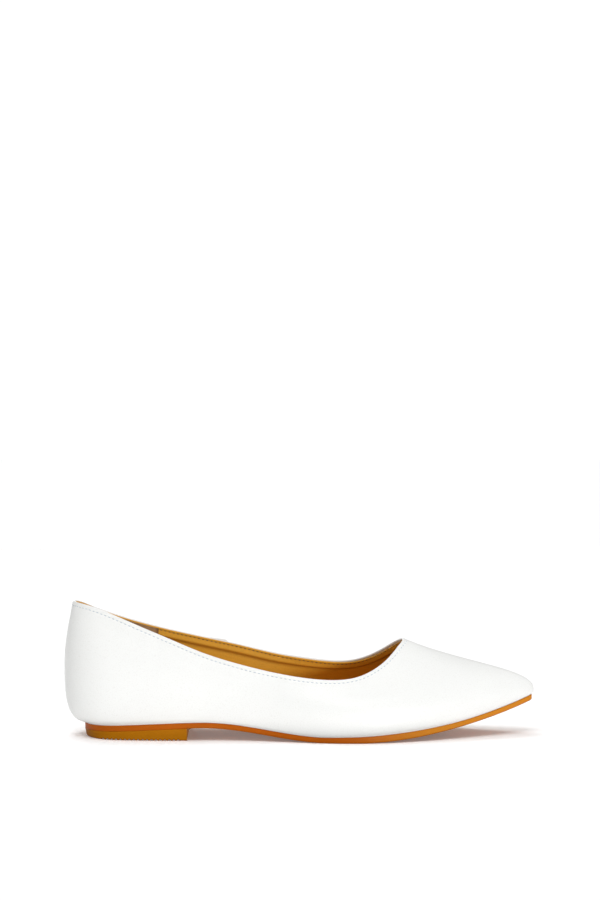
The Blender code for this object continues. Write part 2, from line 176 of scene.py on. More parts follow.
# Lights: where a soft sky light comes from, its angle in degrees and its strength
SKY_LIGHTS = {
    "front_sky": ((-0.12, -0.45, 1.0), 34.0, 1.15),
    "back_sky": ((-0.12, 0.40, 1.0), 26.0, 0.75),
}
# Low round lights: place, target and watts
DISK_LIGHTS = {
    "front_light": ((0.85, -1.9, 0.13), (0.05, 0.0, 0.03), 16.5),
    "back_light": ((-0.4, 1.9, 0.15), (0.0, 0.0, 0.03), 12.0),
}
DISK_SIZE = 0.24
FLOOR_SIZE = 60.0
SENSOR_MM = 36.0
FAR_CLIP = 100.0
ROOM_LIGHT = 0.385
ROOM_WHITE = 1.05  # how bright the room looks to the camera
PAPER_GLOW = 0.11
NEAR_FLOOR = 0.012  # the floor lights what it lies this close to
NEAR_GLOW = 0.32

# Fineness of the pieces
RIBS = 380  # along each side of the wall
SOLE_RIBS = 420
HEEL_RIBS, HEEL_CROWDING = 300, 1.15
FIT_SAMPLES = 360
LOW_SAMPLES = 14  # along each rib, below the fullest line of the wall
HIGH_SAMPLES = 44  # and above it

# Outline of the sole. along: share of SOLE_LENGTH from its back. outer, inner: share of BALL_WIDTH from y = 0
SOLE_OUTLINE = (
    # along, outer, inner
    (0.000, -0.015, -0.015),
    (0.016, -0.198, 0.168),
    (0.055, -0.304, 0.275),
    (0.115, -0.345, 0.315),
    (0.190, -0.362, 0.313),
    (0.270, -0.358, 0.280),
    (0.350, -0.368, 0.264),
    (0.430, -0.412, 0.298),
    (0.500, -0.464, 0.372),
    (0.560, -0.498, 0.442),
    (0.620, -0.498, 0.482),
    (0.680, -0.462, 0.474),
    (0.745, -0.386, 0.422),
    (0.810, -0.287, 0.349),
    (0.875, -0.182, 0.273),
    (0.935, -0.078, 0.200),
    (0.980, 0.012, 0.142),
    (1.000, 0.080, 0.080),
)

# Topline. along: share of COLLAR_LENGTH from its back. outer, inner: share of COLLAR_WIDTH from y = 0.
# back, throat: how much of BACK_HEIGHT and THROAT_HEIGHT over SIDE_HEIGHT. rise: share of INNER_RISE
TOPLINE = (
    # along, outer, inner, back, throat, rise
    (0.000, -0.020, -0.020, 1.000, 0.000, 0.00),
    (0.015, -0.180, 0.140, 0.991, 0.000, -0.12),
    (0.050, -0.295, 0.255, 0.967, 0.000, -0.55),
    (0.105, -0.370, 0.335, 0.900, 0.000, -0.82),
    (0.200, -0.432, 0.395, 0.724, 0.000, -0.50),
    (0.300, -0.468, 0.425, 0.532, 0.000, 0.12),
    (0.400, -0.495, 0.435, 0.350, 0.000, 0.78),
    (0.500, -0.518, 0.440, 0.212, 0.000, 1.10),
    (0.600, -0.536, 0.448, 0.105, 0.000, 1.12),
    (0.700, -0.544, 0.454, 0.030, 0.000, 1.14),
    (0.790, -0.522, 0.444, 0.002, 0.000, 1.06),
    (0.860, -0.460, 0.402, 0.000, 0.082, 0.98),
    (0.920, -0.342, 0.325, 0.000, 0.330, 0.90),
    (0.960, -0.218, 0.230, 0.000, 0.620, 0.70),
    (0.988, -0.085, 0.132, 0.000, 0.885, 0.32),
    (1.000, 0.030, 0.030, 0.000, 1.000, 0.00),
)

# Shape of the wall, from the sole to the topline. at: share of the way along the sole's edge, back to tip.
# outer, inner: swell beyond the sole, as share of HEEL_OVERHANG. full: height of the fullest line, as share
# of the wall. low_out, low_up: reach of the curve below that line. rise: reach of the curve above it.
# slope: degrees from level where the wall meets the topline. reach: how far that slope is kept
WALL_SHAPE = (
    # at, outer, inner, full, low_out, low_up, rise, slope, reach
    (0.00, 1.000, 1.000, 0.47, 0.86, 0.62, 0.42, 80.0, 0.36),
    (0.07, 0.740, 0.740, 0.45, 0.82, 0.62, 0.43, 81.0, 0.36),
    (0.13, 0.490, 0.490, 0.42, 0.76, 0.61, 0.45, 82.0, 0.36),
    (0.22, 0.300, 0.360, 0.38, 0.60, 0.60, 0.45, 84.0, 0.36),
    (0.35, 0.170, 0.440, 0.42, 0.55, 0.55, 0.45, 82.0, 0.36),
    (0.50, 0.170, 0.360, 0.40, 0.55, 0.55, 0.48, 70.0, 0.36),
    (0.62, 0.230, 0.260, 0.34, 0.55, 0.60, 0.52, 52.0, 0.38),
    (0.74, 0.230, 0.240, 0.27, 0.55, 0.60, 0.50, 37.0, 0.42),
    (0.85, 0.200, 0.210, 0.21, 0.55, 0.60, 0.42, 27.0, 0.50),
    (0.95, 0.140, 0.140, 0.14, 0.55, 0.60, 0.41, 24.0, 0.46),
    (1.00, 0.090, 0.090, 0.10, 0.55, 0.60, 0.40, 23.0, 0.45),
)


# Curves of the last


def spline_slopes(knots, values, closed):
    """Slopes that make the cubic curve through the values turn smoothly. An open one has level ends."""
    count = len(knots) - 1
    gaps = np.diff(knots)
    rises = np.diff(values, axis=0) / gaps[:, None]
    size = count if closed else count + 1
    matrix = np.zeros((size, size))
    wanted = np.zeros((size, values.shape[1]))
    for i in range(size):
        if not closed and i in (0, count):
            matrix[i, i] = 1.0
            continue
        before, after = (i - 1) % count if closed else i - 1, i
        matrix[i, (i - 1) % size] += gaps[after]
        matrix[i, i] += 2 * (gaps[before] + gaps[after])
        matrix[i, (i + 1) % size] += gaps[before]
        wanted[i] = 3 * (gaps[after] * rises[before] + gaps[before] * rises[after])
    slopes = np.linalg.solve(matrix, wanted)
    return np.vstack([slopes, slopes[:1]]) if closed else slopes


def spline(knots, values, closed=False):
    """A function that gives the smooth curve through the values at any place between the knots."""
    knots = np.asarray(knots, float)
    values = np.asarray(values, float).reshape(len(knots), -1)
    slopes = spline_slopes(knots, values, closed)

    def at(places):
        places = np.clip(np.atleast_1d(places), knots[0], knots[-1])
        i = np.clip(np.searchsorted(knots, places, side="right") - 1, 0, len(knots) - 2)
        gap = (knots[i + 1] - knots[i])[:, None]
        t = (places - knots[i])[:, None] / gap
        near = values[i] * (1 + 2 * t) * (1 - t) ** 2 + slopes[i] * gap * t * (1 - t) ** 2
        far = values[i + 1] * t**2 * (3 - 2 * t) + slopes[i + 1] * gap * t**2 * (t - 1)
        return near + far

    return at


def two_sides(outer, inner):
    """The two sides of a closed curve through two rows of points that share their ends, as functions of the
    share of the way along each side, from the back to the front."""
    points = np.vstack([outer, inner[-2:0:-1], outer[:1]])
    steps = np.sqrt(np.linalg.norm(np.diff(points, axis=0), axis=1))
    knots = np.concatenate([[0.0], np.cumsum(steps)])
    curve = spline(knots, points, closed=True)
    front = knots[len(outer) - 1]
    sides = []
    for start, end in ((0.0, front), (knots[-1], front)):
        places = np.linspace(start, end, FIT_SAMPLES)
        samples = curve(places)
        way = distances(samples)
        sides.append(lambda shares, p=places, w=way / way[-1]: curve(np.interp(shares, w, p)))
    return sides


def crowded(count):
    """Shares from 0 to 1 that stand closer at both ends of the shoe."""
    even = np.linspace(0.0, 1.0, count + 1)
    return even - END_CROWDING * np.sin(2 * math.pi * even) / (2 * math.pi)


def ease(share):
    """Rises from 0 to 1 with level ends."""
    share = np.clip(share, 0.0, 1.0)
    return share**2 * (3 - 2 * share)


def bump(distance, width):
    """1 at distance 0, falling smoothly to 0 at the given width."""
    return ease(1 - np.abs(distance) / width)


def sole_underside(x):
    arch = HEEL_HEIGHT * ease((BALL_BACK - x) / (BALL_BACK - ARCH_TOP))
    seat = SEAT_DROP * ease((ARCH_TOP - x) / (ARCH_TOP - HEEL_OVERHANG))
    tip = SHOE_LENGTH - NOSE_OVERHANG
    spring = TOE_SPRING * np.clip((x - BALL_FRONT) / (tip - BALL_FRONT), 0.0, None) ** SPRING_CURVE
    return arch - seat + spring


def sole_top(x):
    return sole_underside(x) + SOLE_THICKNESS + FORE_SWELL * bump(x - FORE_SWELL_PLACE, FORE_SWELL_REACH)


def sole_sides():
    rows = np.array(SOLE_OUTLINE)
    x = HEEL_OVERHANG + rows[:, 0] * SOLE_LENGTH
    outer = np.column_stack([x, rows[:, 1] * BALL_WIDTH])
    inner = np.column_stack([x, rows[:, 2] * BALL_WIDTH])
    return two_sides(outer, inner)


def topline_sides():
    rows = np.array(TOPLINE)
    x = BACK_LEAN + rows[:, 0] * COLLAR_LENGTH
    height = (
        SIDE_HEIGHT
        + rows[:, 3] * (BACK_HEIGHT - SIDE_HEIGHT)
        + rows[:, 4] * (THROAT_HEIGHT - SIDE_HEIGHT)
    )
    sagged = height - OUTER_SAG * bump(x - SAG_PLACE, SAG_REACH)
    outer = np.column_stack([x, rows[:, 1] * COLLAR_WIDTH, sagged])
    inner = np.column_stack([x, rows[:, 2] * COLLAR_WIDTH, height + rows[:, 5] * INNER_RISE])
    return two_sides(outer, inner)


def unit(vectors):
    """The vectors at length 1."""
    return vectors / np.linalg.norm(vectors, axis=-1, keepdims=True)


def distances(points):
    """Distance from the first point along a line of points, at each of them."""
    return np.concatenate([[0.0], np.cumsum(np.linalg.norm(np.diff(points, axis=0), axis=1))])


def outward(ring):
    """Level unit vectors that point out of a closed ring of points."""
    way = np.roll(ring, -1, axis=0) - np.roll(ring, 1, axis=0)
    out = np.column_stack([way[:, 1], -way[:, 0]])
    middle = ring[:, :2].mean(axis=0)
    if np.sum(out * (ring[:, :2] - middle)) < 0:
        out = -out
    return unit(out)


def bezier(a, b, c, d, t):
    return a * (1 - t) ** 3 + 3 * b * t * (1 - t) ** 2 + 3 * c * t**2 * (1 - t) + d * t**3


class Wall:
    """The outer face of the shoe's wall as ribs from the topline down to the sole, all round the shoe.

    reach: the share of the sole's edge that the ribs run along. The inside of a wall with thickness stops
    short of the nose. Ribs go along the outer side from the back to the nose and back along the inner side.
    """

    def __init__(self, count, reach=1.0):
        shares = crowded(count) * reach
        outer_side = [(f, 1.0) for f in shares[1:-1]]
        inner_side = [(f, 0.0) for f in shares[-2:0:-1]]
        ring = np.array([(shares[0], 0.5), *outer_side, (shares[-1], 0.5), *inner_side])
        sole, topline = sole_sides(), topline_sides()
        shape = spline(np.array(WALL_SHAPE)[:, 0], np.array(WALL_SHAPE)[:, 1:])
        self.shares, is_outer = ring[:, 0], ring[:, 1:]
        self.inner_side = ring[:, 1] < 0.5
        is_inner = 1 - is_outer
        fanned = 1 - (1 - self.shares) ** FAN
        foot = is_outer * sole[0](self.shares) + is_inner * sole[1](self.shares)
        top = is_outer * topline[0](fanned) + is_inner * topline[1](fanned)
        wanted = shape(self.shares).T[:, :, None]
        swell_outer, swell_inner, full, low_out, low_up, rise, slope, keep = wanted
        swell = HEEL_OVERHANG * (is_outer * swell_outer + is_inner * swell_inner)
        slope = np.radians(slope)
        up = np.array([0.0, 0.0, 1.0])
        self.level = np.column_stack([outward(foot), np.zeros(len(foot))])
        self.foot = np.column_stack([foot, sole_top(foot[:, 0]) + LEATHER_LIFT])
        self.fullest = self.foot + self.level * swell + up * full * (top[:, 2:] - self.foot[:, 2:])
        turn = self.foot + up * TURN_RADIUS
        low = self.fullest[:, 2:] - turn[:, 2:]
        rows = []
        for t in np.linspace(0.0, 1.0, LOW_SAMPLES + 1)[:-1]:
            out = turn + self.level * swell * low_out
            rows.append(bezier(turn, out, self.fullest - up * low * low_up, self.fullest, t))
        lean = self.fullest - top
        lean[:, 2] = 0.0
        lean = unit(lean)
        distance = np.linalg.norm(self.fullest - top, axis=1)[:, None]
        arrive = top + (lean * np.cos(slope) - up * np.sin(slope)) * keep * distance
        leave = self.fullest + up * rise * (top[:, 2:] - self.fullest[:, 2:])
        for t in np.linspace(0.0, 1.0, HIGH_SAMPLES + 1):
            rows.append(bezier(self.fullest, leave, arrive, top, t))
        self.rows = self.rounded(np.array(rows[::-1]))
        self.out = self.faces_out()
        self.thin = self.out.copy()
        self.thin[HIGH_SAMPLES:] = self.level
        steps = np.linalg.norm(np.diff(self.rows, axis=0), axis=2)
        self.down = np.vstack([np.zeros(len(self.shares)), np.cumsum(steps, axis=0)])
        self.length = self.down[-1]

    def rounded(self, rows):
        """The rows with the ridge from the throat to the nose made rounder. The ridge keeps its height."""
        ribs, down = np.arange(len(self.shares)), np.arange(len(rows))
        nose = len(ribs) // 2
        apart = np.abs(ribs[:, None] - ribs)
        apart = np.minimum(apart, len(ribs) - apart)
        near = ease(1 - np.abs(ribs - nose) / RIDGE_RIBS)[None, :, None]

        def smoothed(width):
            share = np.exp(-((apart / width) ** 2) / 2)
            soft = np.einsum("ij,rjk->rik", share / share.sum(axis=1)[:, None], rows)
            return soft + (rows[:, nose] - soft[:, nose])[:, None] * near

        high = ease((HIGH_SAMPLES - RIDGE_END - down) / RIDGE_FADE)[:, None, None]
        free = 1 - ease((down - len(rows) + FOOT_ROWS) / (FOOT_ROWS - 1))[:, None, None]
        soft = smoothed(RIDGE_WIDE) * high + smoothed(RIDGE_TIGHT) * (1 - high)
        return rows + (soft - rows) * near * free

    def faces_out(self):
        """Unit vectors square to the surface, pointing out of the shoe."""
        round_way = np.roll(self.rows, -1, axis=1) - np.roll(self.rows, 1, axis=1)
        down_way = np.gradient(self.rows, axis=0)
        return unit(np.cross(down_way, round_way))

    def at(self, values, down):
        """Values of the ribs at distances below the topline: down has a row for each ring of points."""
        down = np.broadcast_to(down, (len(down), len(self.shares)))
        picked = np.empty((*down.shape, 3))
        for i in range(down.shape[1]):
            for axis in range(3):
                picked[:, i, axis] = np.interp(down[:, i], self.down[:, i], values[:, i, axis])
        return picked

    def rings(self, down):
        """Points on the outer face and the directions out of it."""
        return self.at(self.rows, down), unit(self.at(self.out, down))


def spread(near_top, count, wall, start=0.0):
    """Distances below the topline: fixed ones near it, and then count rows down to the end of each rib.

    start: where the first of them lies, one number or one for each rib.
    """
    near_top = np.array(near_top)[:, None] + start * np.ones(len(wall.shares))
    last = near_top[-1]
    shares = np.linspace(0.0, 1.0, count + 1)[1:, None]
    return np.vstack([near_top, last + (wall.length - last) * shares])


def within(full, short, depth, down, floor):
    """Rings of points inside the wall, at a depth below its outer face.

    Near the topline they lie on the ribs of the whole wall, and lower down on those that stop short of the
    nose.
    floor: the least height over the sole.
    """
    points, out = full.rings(down)
    near = points - out * depth
    below = down * short.length / full.length
    far = short.at(short.rows, below) - short.at(short.thin, below) * depth
    corner = short.foot - short.level * depth
    corner[..., 2] = sole_top(corner[..., 0]) + GAP + floor
    low = far[..., 2:] < corner[..., 2:]
    far = np.where(low, corner, far)
    share = ease((down - BLEND_FROM) / BLEND_OVER)[:, :, None]
    return near * (1 - share) + far * share


def frame_shift():
    """How far the shoe's own x and y lie from those of the frame: the sole stays on the outsole's middle."""
    outline = np.vstack([side(np.linspace(0.0, 1.0, FIT_SAMPLES)) for side in sole_sides()])
    middle = (outline.min(axis=0) + outline.max(axis=0)) / 2
    low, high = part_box("outsole")
    return np.array([(low.x + high.x) / 2 - middle[0], (low.y + high.y) / 2 - middle[1], 0.0])


FRAME_SHIFT = frame_shift()


# Modelling


def select_only(obj):
    bpy.ops.object.select_all(action="DESELECT")
    obj.select_set(True)
    bpy.context.view_layer.objects.active = obj


def laid_grid(name, rows):
    """A grid primitive laid over rows of points, with its UV map running round (u) and across (v)."""
    rows = np.asarray(rows)
    bpy.ops.object.select_all(action="DESELECT")
    bpy.ops.mesh.primitive_grid_add(
        x_subdivisions=rows.shape[1] - 1, y_subdivisions=rows.shape[0] - 1, size=1.0
    )
    obj = bpy.context.object
    obj.name = name
    obj.data.name = name
    obj.data.vertices.foreach_set("co", (rows + FRAME_SHIFT).reshape(-1))
    obj.data.update()
    return obj


def close_up(obj, fill=False):
    """Joins the borders that meet, fills the open ends if asked, and turns all faces outwards."""
    select_only(obj)
    bpy.ops.object.mode_set(mode="EDIT")
    bpy.ops.mesh.select_all(action="SELECT")
    bpy.ops.mesh.remove_doubles(threshold=2e-6)
    if fill:
        bpy.ops.mesh.select_all(action="DESELECT")
        bpy.ops.mesh.select_non_manifold()
        bpy.ops.mesh.fill_holes(sides=0)
    bpy.ops.mesh.select_all(action="SELECT")
    bpy.ops.mesh.normals_make_consistent(inside=False)
    bpy.ops.object.mode_set(mode="OBJECT")
    bpy.ops.object.shade_smooth_by_angle(angle=math.radians(50))
    return obj


def mark_points(obj, name, values):
    """Stores a number for each point of the mesh, for the materials."""
    made = obj.data.attributes.new(name, "FLOAT", "POINT")
    made.data.foreach_set("value", np.asarray(values).reshape(-1).astype(np.float32))


def tube(rows):
    """Rows that close on themselves both ways: the first ring and column are repeated at the end."""
    rows = np.concatenate([rows, rows[:1]])
    return np.concatenate([rows, rows[:, :1]], axis=1)


def plate(name, rows):
    """A piece from loops of points across it, filled at both ends."""
    return close_up(laid_grid(name, np.concatenate([rows, rows[:1]])), fill=True)


def finish_piece(obj, material, replaced=()):
    """Gives a piece its material, hangs it on the root body, and hides the solids that it replaces."""
    obj.data.materials.clear()
    obj.data.materials.append(material)
    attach(obj, "root")
    if replaced:
        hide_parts(*replaced)


# Shader nodes


class Nodes:
    """A node tree under construction: nodes are added by name and linked by socket."""

    def __init__(self, tree):
        self.tree = tree

    def node(self, kind, settings=(), **inputs):
        made = self.tree.nodes.new(kind)
        for key, value in dict(settings).items():
            setattr(made, key, value)
        self.fill(made, **inputs)
        return made

    def fill(self, node, **inputs):
        """Sets inputs of a node. Their names are written with _ in place of each space."""
        for key, value in inputs.items():
            self.put(node.inputs[key.replace("_", " ")], value)

    def put(self, socket, value):
        """Sets a socket, or links it when the value is another socket."""
        if isinstance(value, bpy.types.NodeSocket):
            self.tree.links.new(value, socket)
        else:
            socket.default_value = (*value, 1.0) if socket.type == "RGBA" else value

    def maths(self, operation, *values, clamp=False):
        made = self.node("ShaderNodeMath", {"operation": operation, "use_clamp": clamp})
        for socket, value in zip(made.inputs, values):
            self.put(socket, value)
        return made.outputs[0]

    def tone(self, amount, low, high, blend="MIX"):
        """A colour between two, by an amount from 0 to 1. Each of the two is a colour or a socket."""
        mix = self.node("ShaderNodeMix", {"data_type": "RGBA", "blend_type": blend}, Factor=amount)
        for socket, colour in zip([found for found in mix.inputs if found.type == "RGBA"], (low, high)):
            self.put(socket, colour)
        return next(found for found in mix.outputs if found.type == "RGBA")

    def ranged(self, amount, low, high):
        """A number between two, by an amount from 0 to 1."""
        return self.node("ShaderNodeMapRange", Value=amount, To_Min=low, To_Max=high).outputs["Result"]

    def ramp(self, amount, low, high, interpolation="SMOOTHSTEP"):
        """0 up to a low amount, 1 from a high one on, and rising between them."""
        settings = {"interpolation_type": interpolation}
        made = self.node("ShaderNodeMapRange", settings, Value=amount, From_Min=low, From_Max=high)
        return made.outputs["Result"]

    def relief(self, height, strength, distance):
        """The normal of a surface with fine relief."""
        made = self.node("ShaderNodeBump", Height=height, Strength=strength, Distance=distance)
        return made.outputs["Normal"]


class Shader(Nodes):
    """A material under construction. Its patterns follow the object's own coordinates."""

    def __init__(self, name):
        self.material = bpy.data.materials.new(name)
        self.material.use_nodes = True
        super().__init__(self.material.node_tree)
        self.surface = self.tree.nodes["Principled BSDF"]
        self.place = self.node("ShaderNodeTexCoord").outputs["Object"]

    def group(self, name, build, **inputs):
        """The node group of that name, built on its first use."""
        tree = bpy.data.node_groups.get(name) or build()
        return self.node("ShaderNodeGroup", {"node_tree": tree}, Place=self.place, **inputs)

    def clouds(self, **inputs):
        return self.group("tone_clouds", clouds_group, **inputs).outputs["Amount"]

    def mark(self, name):
        """A number that the mesh carries at each of its points."""
        return self.node("ShaderNodeAttribute", {"attribute_name": name}).outputs["Fac"]

    def with_painted_shade(self, colour):
        """The colour with painted shade: darker where the mesh carries the painted shade mark, in the crease
        under the lining's fold and along the edges of the heel grip.
        """
        # Painted shade: the marked points are multiplied towards this dark brown
        return self.tone(self.mark("painted_shade"), colour, (0.50, 0.40, 0.30), "MULTIPLY")


def new_group(name, inputs, outputs):
    """An empty node group with named inputs and outputs, what comes in, and the sockets to lead out to."""
    tree = bpy.data.node_groups.new(name, "ShaderNodeTree")
    for socket, kind, value in inputs:
        made = tree.interface.new_socket(socket, in_out="INPUT", socket_type=kind)
        if value is not None:
            made.default_value = value
    for socket in outputs:
        tree.interface.new_socket(socket, in_out="OUTPUT", socket_type="NodeSocketFloat")
    nodes = Nodes(tree)
    return nodes, nodes.node("NodeGroupInput").outputs, nodes.node("NodeGroupOutput")


def grain_group():
    """Leather grain: small cells with soft borders over slow swells, as a height and a mask of the pores."""
    inputs = [
        ("Place", "NodeSocketVector", None),
        ("Cell Scale", "NodeSocketFloat", 900.0),
        ("Swell Scale", "NodeSocketFloat", 90.0),
        ("Swell", "NodeSocketFloat", 0.5),
    ]
    nodes, given, end = new_group("leather_grain", inputs, ["Height", "Pores"])
    wobble = nodes.node("ShaderNodeTexNoise", Vector=given["Place"], Scale=420.0, Detail=2.0)
    shifted = nodes.node(
        "ShaderNodeMixRGB",
        {"blend_type": "LINEAR_LIGHT"},
        Fac=0.0006,
        Color1=given["Place"],
        Color2=wobble.outputs["Color"],
    )
    cells = nodes.node(
        "ShaderNodeTexVoronoi",
        {"feature": "SMOOTH_F1"},
        Vector=shifted.outputs["Color"],
        Scale=given["Cell Scale"],
        Smoothness=0.35,
    ).outputs["Distance"]
    domes = nodes.node("ShaderNodeMapRange", Value=cells, From_Max=0.75, To_Min=1.0, To_Max=0.0)
    swells = nodes.node("ShaderNodeTexNoise", Vector=given["Place"], Scale=given["Swell Scale"], Detail=3.0)
    lifted = nodes.maths("MULTIPLY", swells.outputs["Fac"], given["Swell"])
    nodes.fill(
        end,
        Height=nodes.maths("ADD", domes.outputs["Result"], lifted),
        Pores=nodes.ramp(cells, 0.55, 0.85, "LINEAR"),
    )
    return nodes.tree


def clouds_group():
    """Slow and fast clouds, for the small changes of tone and gloss that any real surface has."""
    inputs = [
        ("Place", "NodeSocketVector", None),
        ("Scale", "NodeSocketFloat", 30.0),
        ("Contrast", "NodeSocketFloat", 1.6),
    ]
    nodes, given, end = new_group("tone_clouds", inputs, ["Amount"])
    clouds = nodes.node(
        "ShaderNodeTexNoise", Vector=given["Place"], Scale=given["Scale"], Detail=5.0, Roughness=0.55
    )
    centred = nodes.maths("SUBTRACT", clouds.outputs["Fac"], 0.5)
    nodes.fill(end, Amount=nodes.maths("MULTIPLY_ADD", centred, given["Contrast"], 0.5, clamp=True))
    return nodes.tree


def scaled(colour, factor):
    return tuple(min(1.0, part * factor) for part in colour)


def leather_material(name, colour, roughness, depth, cell_scale=2200.0, contrast=0.012, coat=0.08, gloss=0.4):
    """Finished leather: fine grain, soft clouds of tone and gloss, and a thin coat."""
    shader = Shader(name)
    grain = shader.group("leather_grain", grain_group, Cell_Scale=cell_scale).outputs
    clouds = shader.clouds()
    pale = shader.tone(clouds, scaled(colour, 1 - contrast), scaled(colour, 1 + contrast))
    body = shader.tone(shader.ranged(grain["Pores"], 0.0, 0.12), pale, (0.55, 0.5, 0.45), "MULTIPLY")
    shader.fill(
        shader.surface,
        # Painted shade where the mesh carries the mark for it; of the leathers only the lining does
        Base_Color=shader.with_painted_shade(body),
        Roughness=shader.ranged(clouds, roughness - 0.03, roughness + 0.03),
        Specular_IOR_Level=gloss,
        Normal=shader.relief(grain["Height"], 1.0, depth),
        Coat_Weight=coat,
        Coat_Roughness=0.28,
    )
    return shader.material


def suede_material(name, colour):
    """Brushed split leather: a short nap that scatters light, with brushed streaks."""
    shader = Shader(name)
    clouds = shader.clouds(Scale=160.0, Contrast=2.2)
    nap = shader.node("ShaderNodeTexNoise", Vector=shader.place, Scale=2600.0, Detail=4.0, Roughness=0.7)
    shader.fill(
        shader.surface,
        # Painted shade along the heel grip's edges, where the mesh carries the mark for it
        Base_Color=shader.with_painted_shade(shader.tone(clouds, scaled(colour, 0.82), scaled(colour, 1.16))),
        Roughness=0.92,
        Sheen_Weight=0.25,
        Normal=shader.relief(nap.outputs["Fac"], 0.8, 0.00012),
    )
    return shader.material


def rubber_material(name, colour, roughness, under, low, high, front=None):
    """Moulded sole rubber. Its edge is another colour than its underside, where it was trimmed.

    under: the colour below. low, high: the height above the sole's own underside over which it changes.
    front: the paler colour that the edge takes on towards the toe.
    """
    shader = Shader(name)
    clouds = shader.clouds(Scale=55.0, Contrast=1.8)
    body = shader.tone(clouds, scaled(colour, 0.94), scaled(colour, 1.06))
    if front:
        along = shader.node("ShaderNodeSeparateXYZ", Vector=shader.place)
        body = shader.tone(shader.ramp(along.outputs["X"], *PALER_OVER), body, front)
    skin = shader.node("ShaderNodeTexNoise", Vector=shader.place, Scale=1500.0, Detail=3.0, Roughness=0.6)
    shader.fill(
        shader.surface,
        Base_Color=shader.tone(shader.ramp(shader.mark("sole_height"), low, high), under, body),
        Roughness=shader.ranged(clouds, roughness - 0.06, roughness + 0.08),
        Specular_IOR_Level=0.08,
        Normal=shader.relief(skin.outputs["Fac"], 0.6, 0.00004),
    )
    return shader.material


def thread_material(name, colour):
    """Twisted sewing thread."""
    shader = Shader(name)
    clouds = shader.clouds(Scale=300.0, Contrast=1.8)
    settings = {"bands_direction": "DIAGONAL"}
    twist = shader.node("ShaderNodeTexWave", settings, Vector=shader.place, Scale=900.0)
    shader.fill(
        shader.surface,
        Base_Color=shader.tone(clouds, scaled(colour, 0.8), scaled(colour, 1.15)),
        Roughness=0.7,
        Sheen_Weight=0.1,
        Normal=shader.relief(twist.outputs["Fac"], 0.5, 0.00006),
    )
    return shader.material


# Properties


def length_prop(name, description, default):
    """A property for a length in metres."""
    return bpy.props.FloatProperty(name=name, description=description, default=default, unit="LENGTH")


def colour_prop(name, description, default):
    """A property for a colour."""
    return bpy.props.FloatVectorProperty(
        name=name, description=description, default=default, size=3, subtype="COLOR"
    )


class PointedFlatUpper(bpy.types.PropertyGroup):
    """Sizes and colours of the upper and its lining"""

    leather: length_prop("Leather", "Thickness of the folded leather", 0.0012)
    fold: length_prop("Fold", "How far the folded edge reaches down inside", 0.0047)
    lining_drop: length_prop(
        "Lining drop", "How far the lining's trimmed edge lies below the topline", 0.0003
    )
    seam_place: length_prop(
        "Side seam", "Where the inner side seam meets the topline, from the back of the heel curve", 0.0880
    )
    grip_length: length_prop(
        "Heel grip", "How far the heel grip reaches along the topline, from the heel curve's back", 0.0518
    )
    leather_colour: colour_prop("Leather colour", "Colour of the outer leather", (0.81, 0.815, 0.80))
    lining_colour: colour_prop("Lining colour", "Colour of the lining and the insole", (0.665, 0.33, 0.034))
    grip_colour: colour_prop("Heel grip colour", "Colour of the suede inside the heel", (0.32, 0.185, 0.085))


class PointedFlatStitching(bpy.types.PropertyGroup):
    """Sizes and colours of the stitching"""

    pitch: length_prop("Pitch", "From one stitch to the next", 0.0024)
    outer_drop: length_prop("Outer row", "How far the outer row lies below the topline", 0.0017)
    inner_drop: length_prop("Inner row", "How far the inner row lies below the topline", 0.0011)
    outer_colour: colour_prop("Outer thread", "Colour of the thread outside", (0.47, 0.52, 0.59))
    inner_colour: colour_prop("Inner thread", "Colour of the thread inside", (0.13, 0.055, 0.018))


class PointedFlatBottom(bpy.types.PropertyGroup):
    """Colours and tread of the sole and the heel block"""

    sole_colour: colour_prop("Sole colour", "Colour of the sole's edge", (0.44, 0.093, 0.002))
    toe_colour: colour_prop(
        "Sole colour at the toe", "Colour of the sole's edge towards the toe", (0.57, 0.200, 0.014)
    )
    under_colour: colour_prop(
        "Underside colour", "Colour of the sole's underside and of the heel's foot", (0.40, 0.120, 0.010)
    )
    heel_colour: colour_prop("Heel colour", "Colour of the heel block", (0.43, 0.148, 0.0006))
    tread_pitch: length_prop("Tread pitch", "From one tread rib to the next", 0.0036)
    tread_depth: length_prop("Tread depth", "Depth of the tread under the ball", 0.0004)


class PointedFlatStage(bpy.types.PropertyGroup):
    """Where the camera stands, and its lens"""

    camera_distance: length_prop("Camera distance", "From the camera to the shoe", 1.05)
    camera_height: length_prop("Camera height", "Above the floor", 0.1558)
    lens: bpy.props.FloatProperty(
        name="Lens", description="Focal length in millimetres", default=76.5, subtype="NONE"
    )


# Pieces


WHOLE = Wall(RIBS)
SHORT = Wall(RIBS, INNER_REACH)


def margin_edge():
    """The free edge of what is turned in: towards the middle line, and no further than half way to it."""
    outer, inner = sole_sides()
    foot = WHOLE.foot
    x = np.clip(foot[:, 0], HEEL_OVERHANG + MIDDLE_BACK, SHOE_LENGTH - NOSE_OVERHANG - MIDDLE_FRONT)
    shares = np.linspace(0.0, 1.0, FIT_SAMPLES)
    middle = np.interp(x, outer(shares)[:, 0], (outer(shares)[:, 1] + inner(shares)[:, 1]) / 2)
    to_middle = np.column_stack([x, middle]) - foot[:, :2]
    distance = np.linalg.norm(to_middle, axis=1)[:, None]
    edge = foot[:, :2] + to_middle / distance * np.minimum(MARGIN, distance / 2)
    return np.column_stack([edge, sole_top(edge[:, 0]) + LEATHER_LIFT])


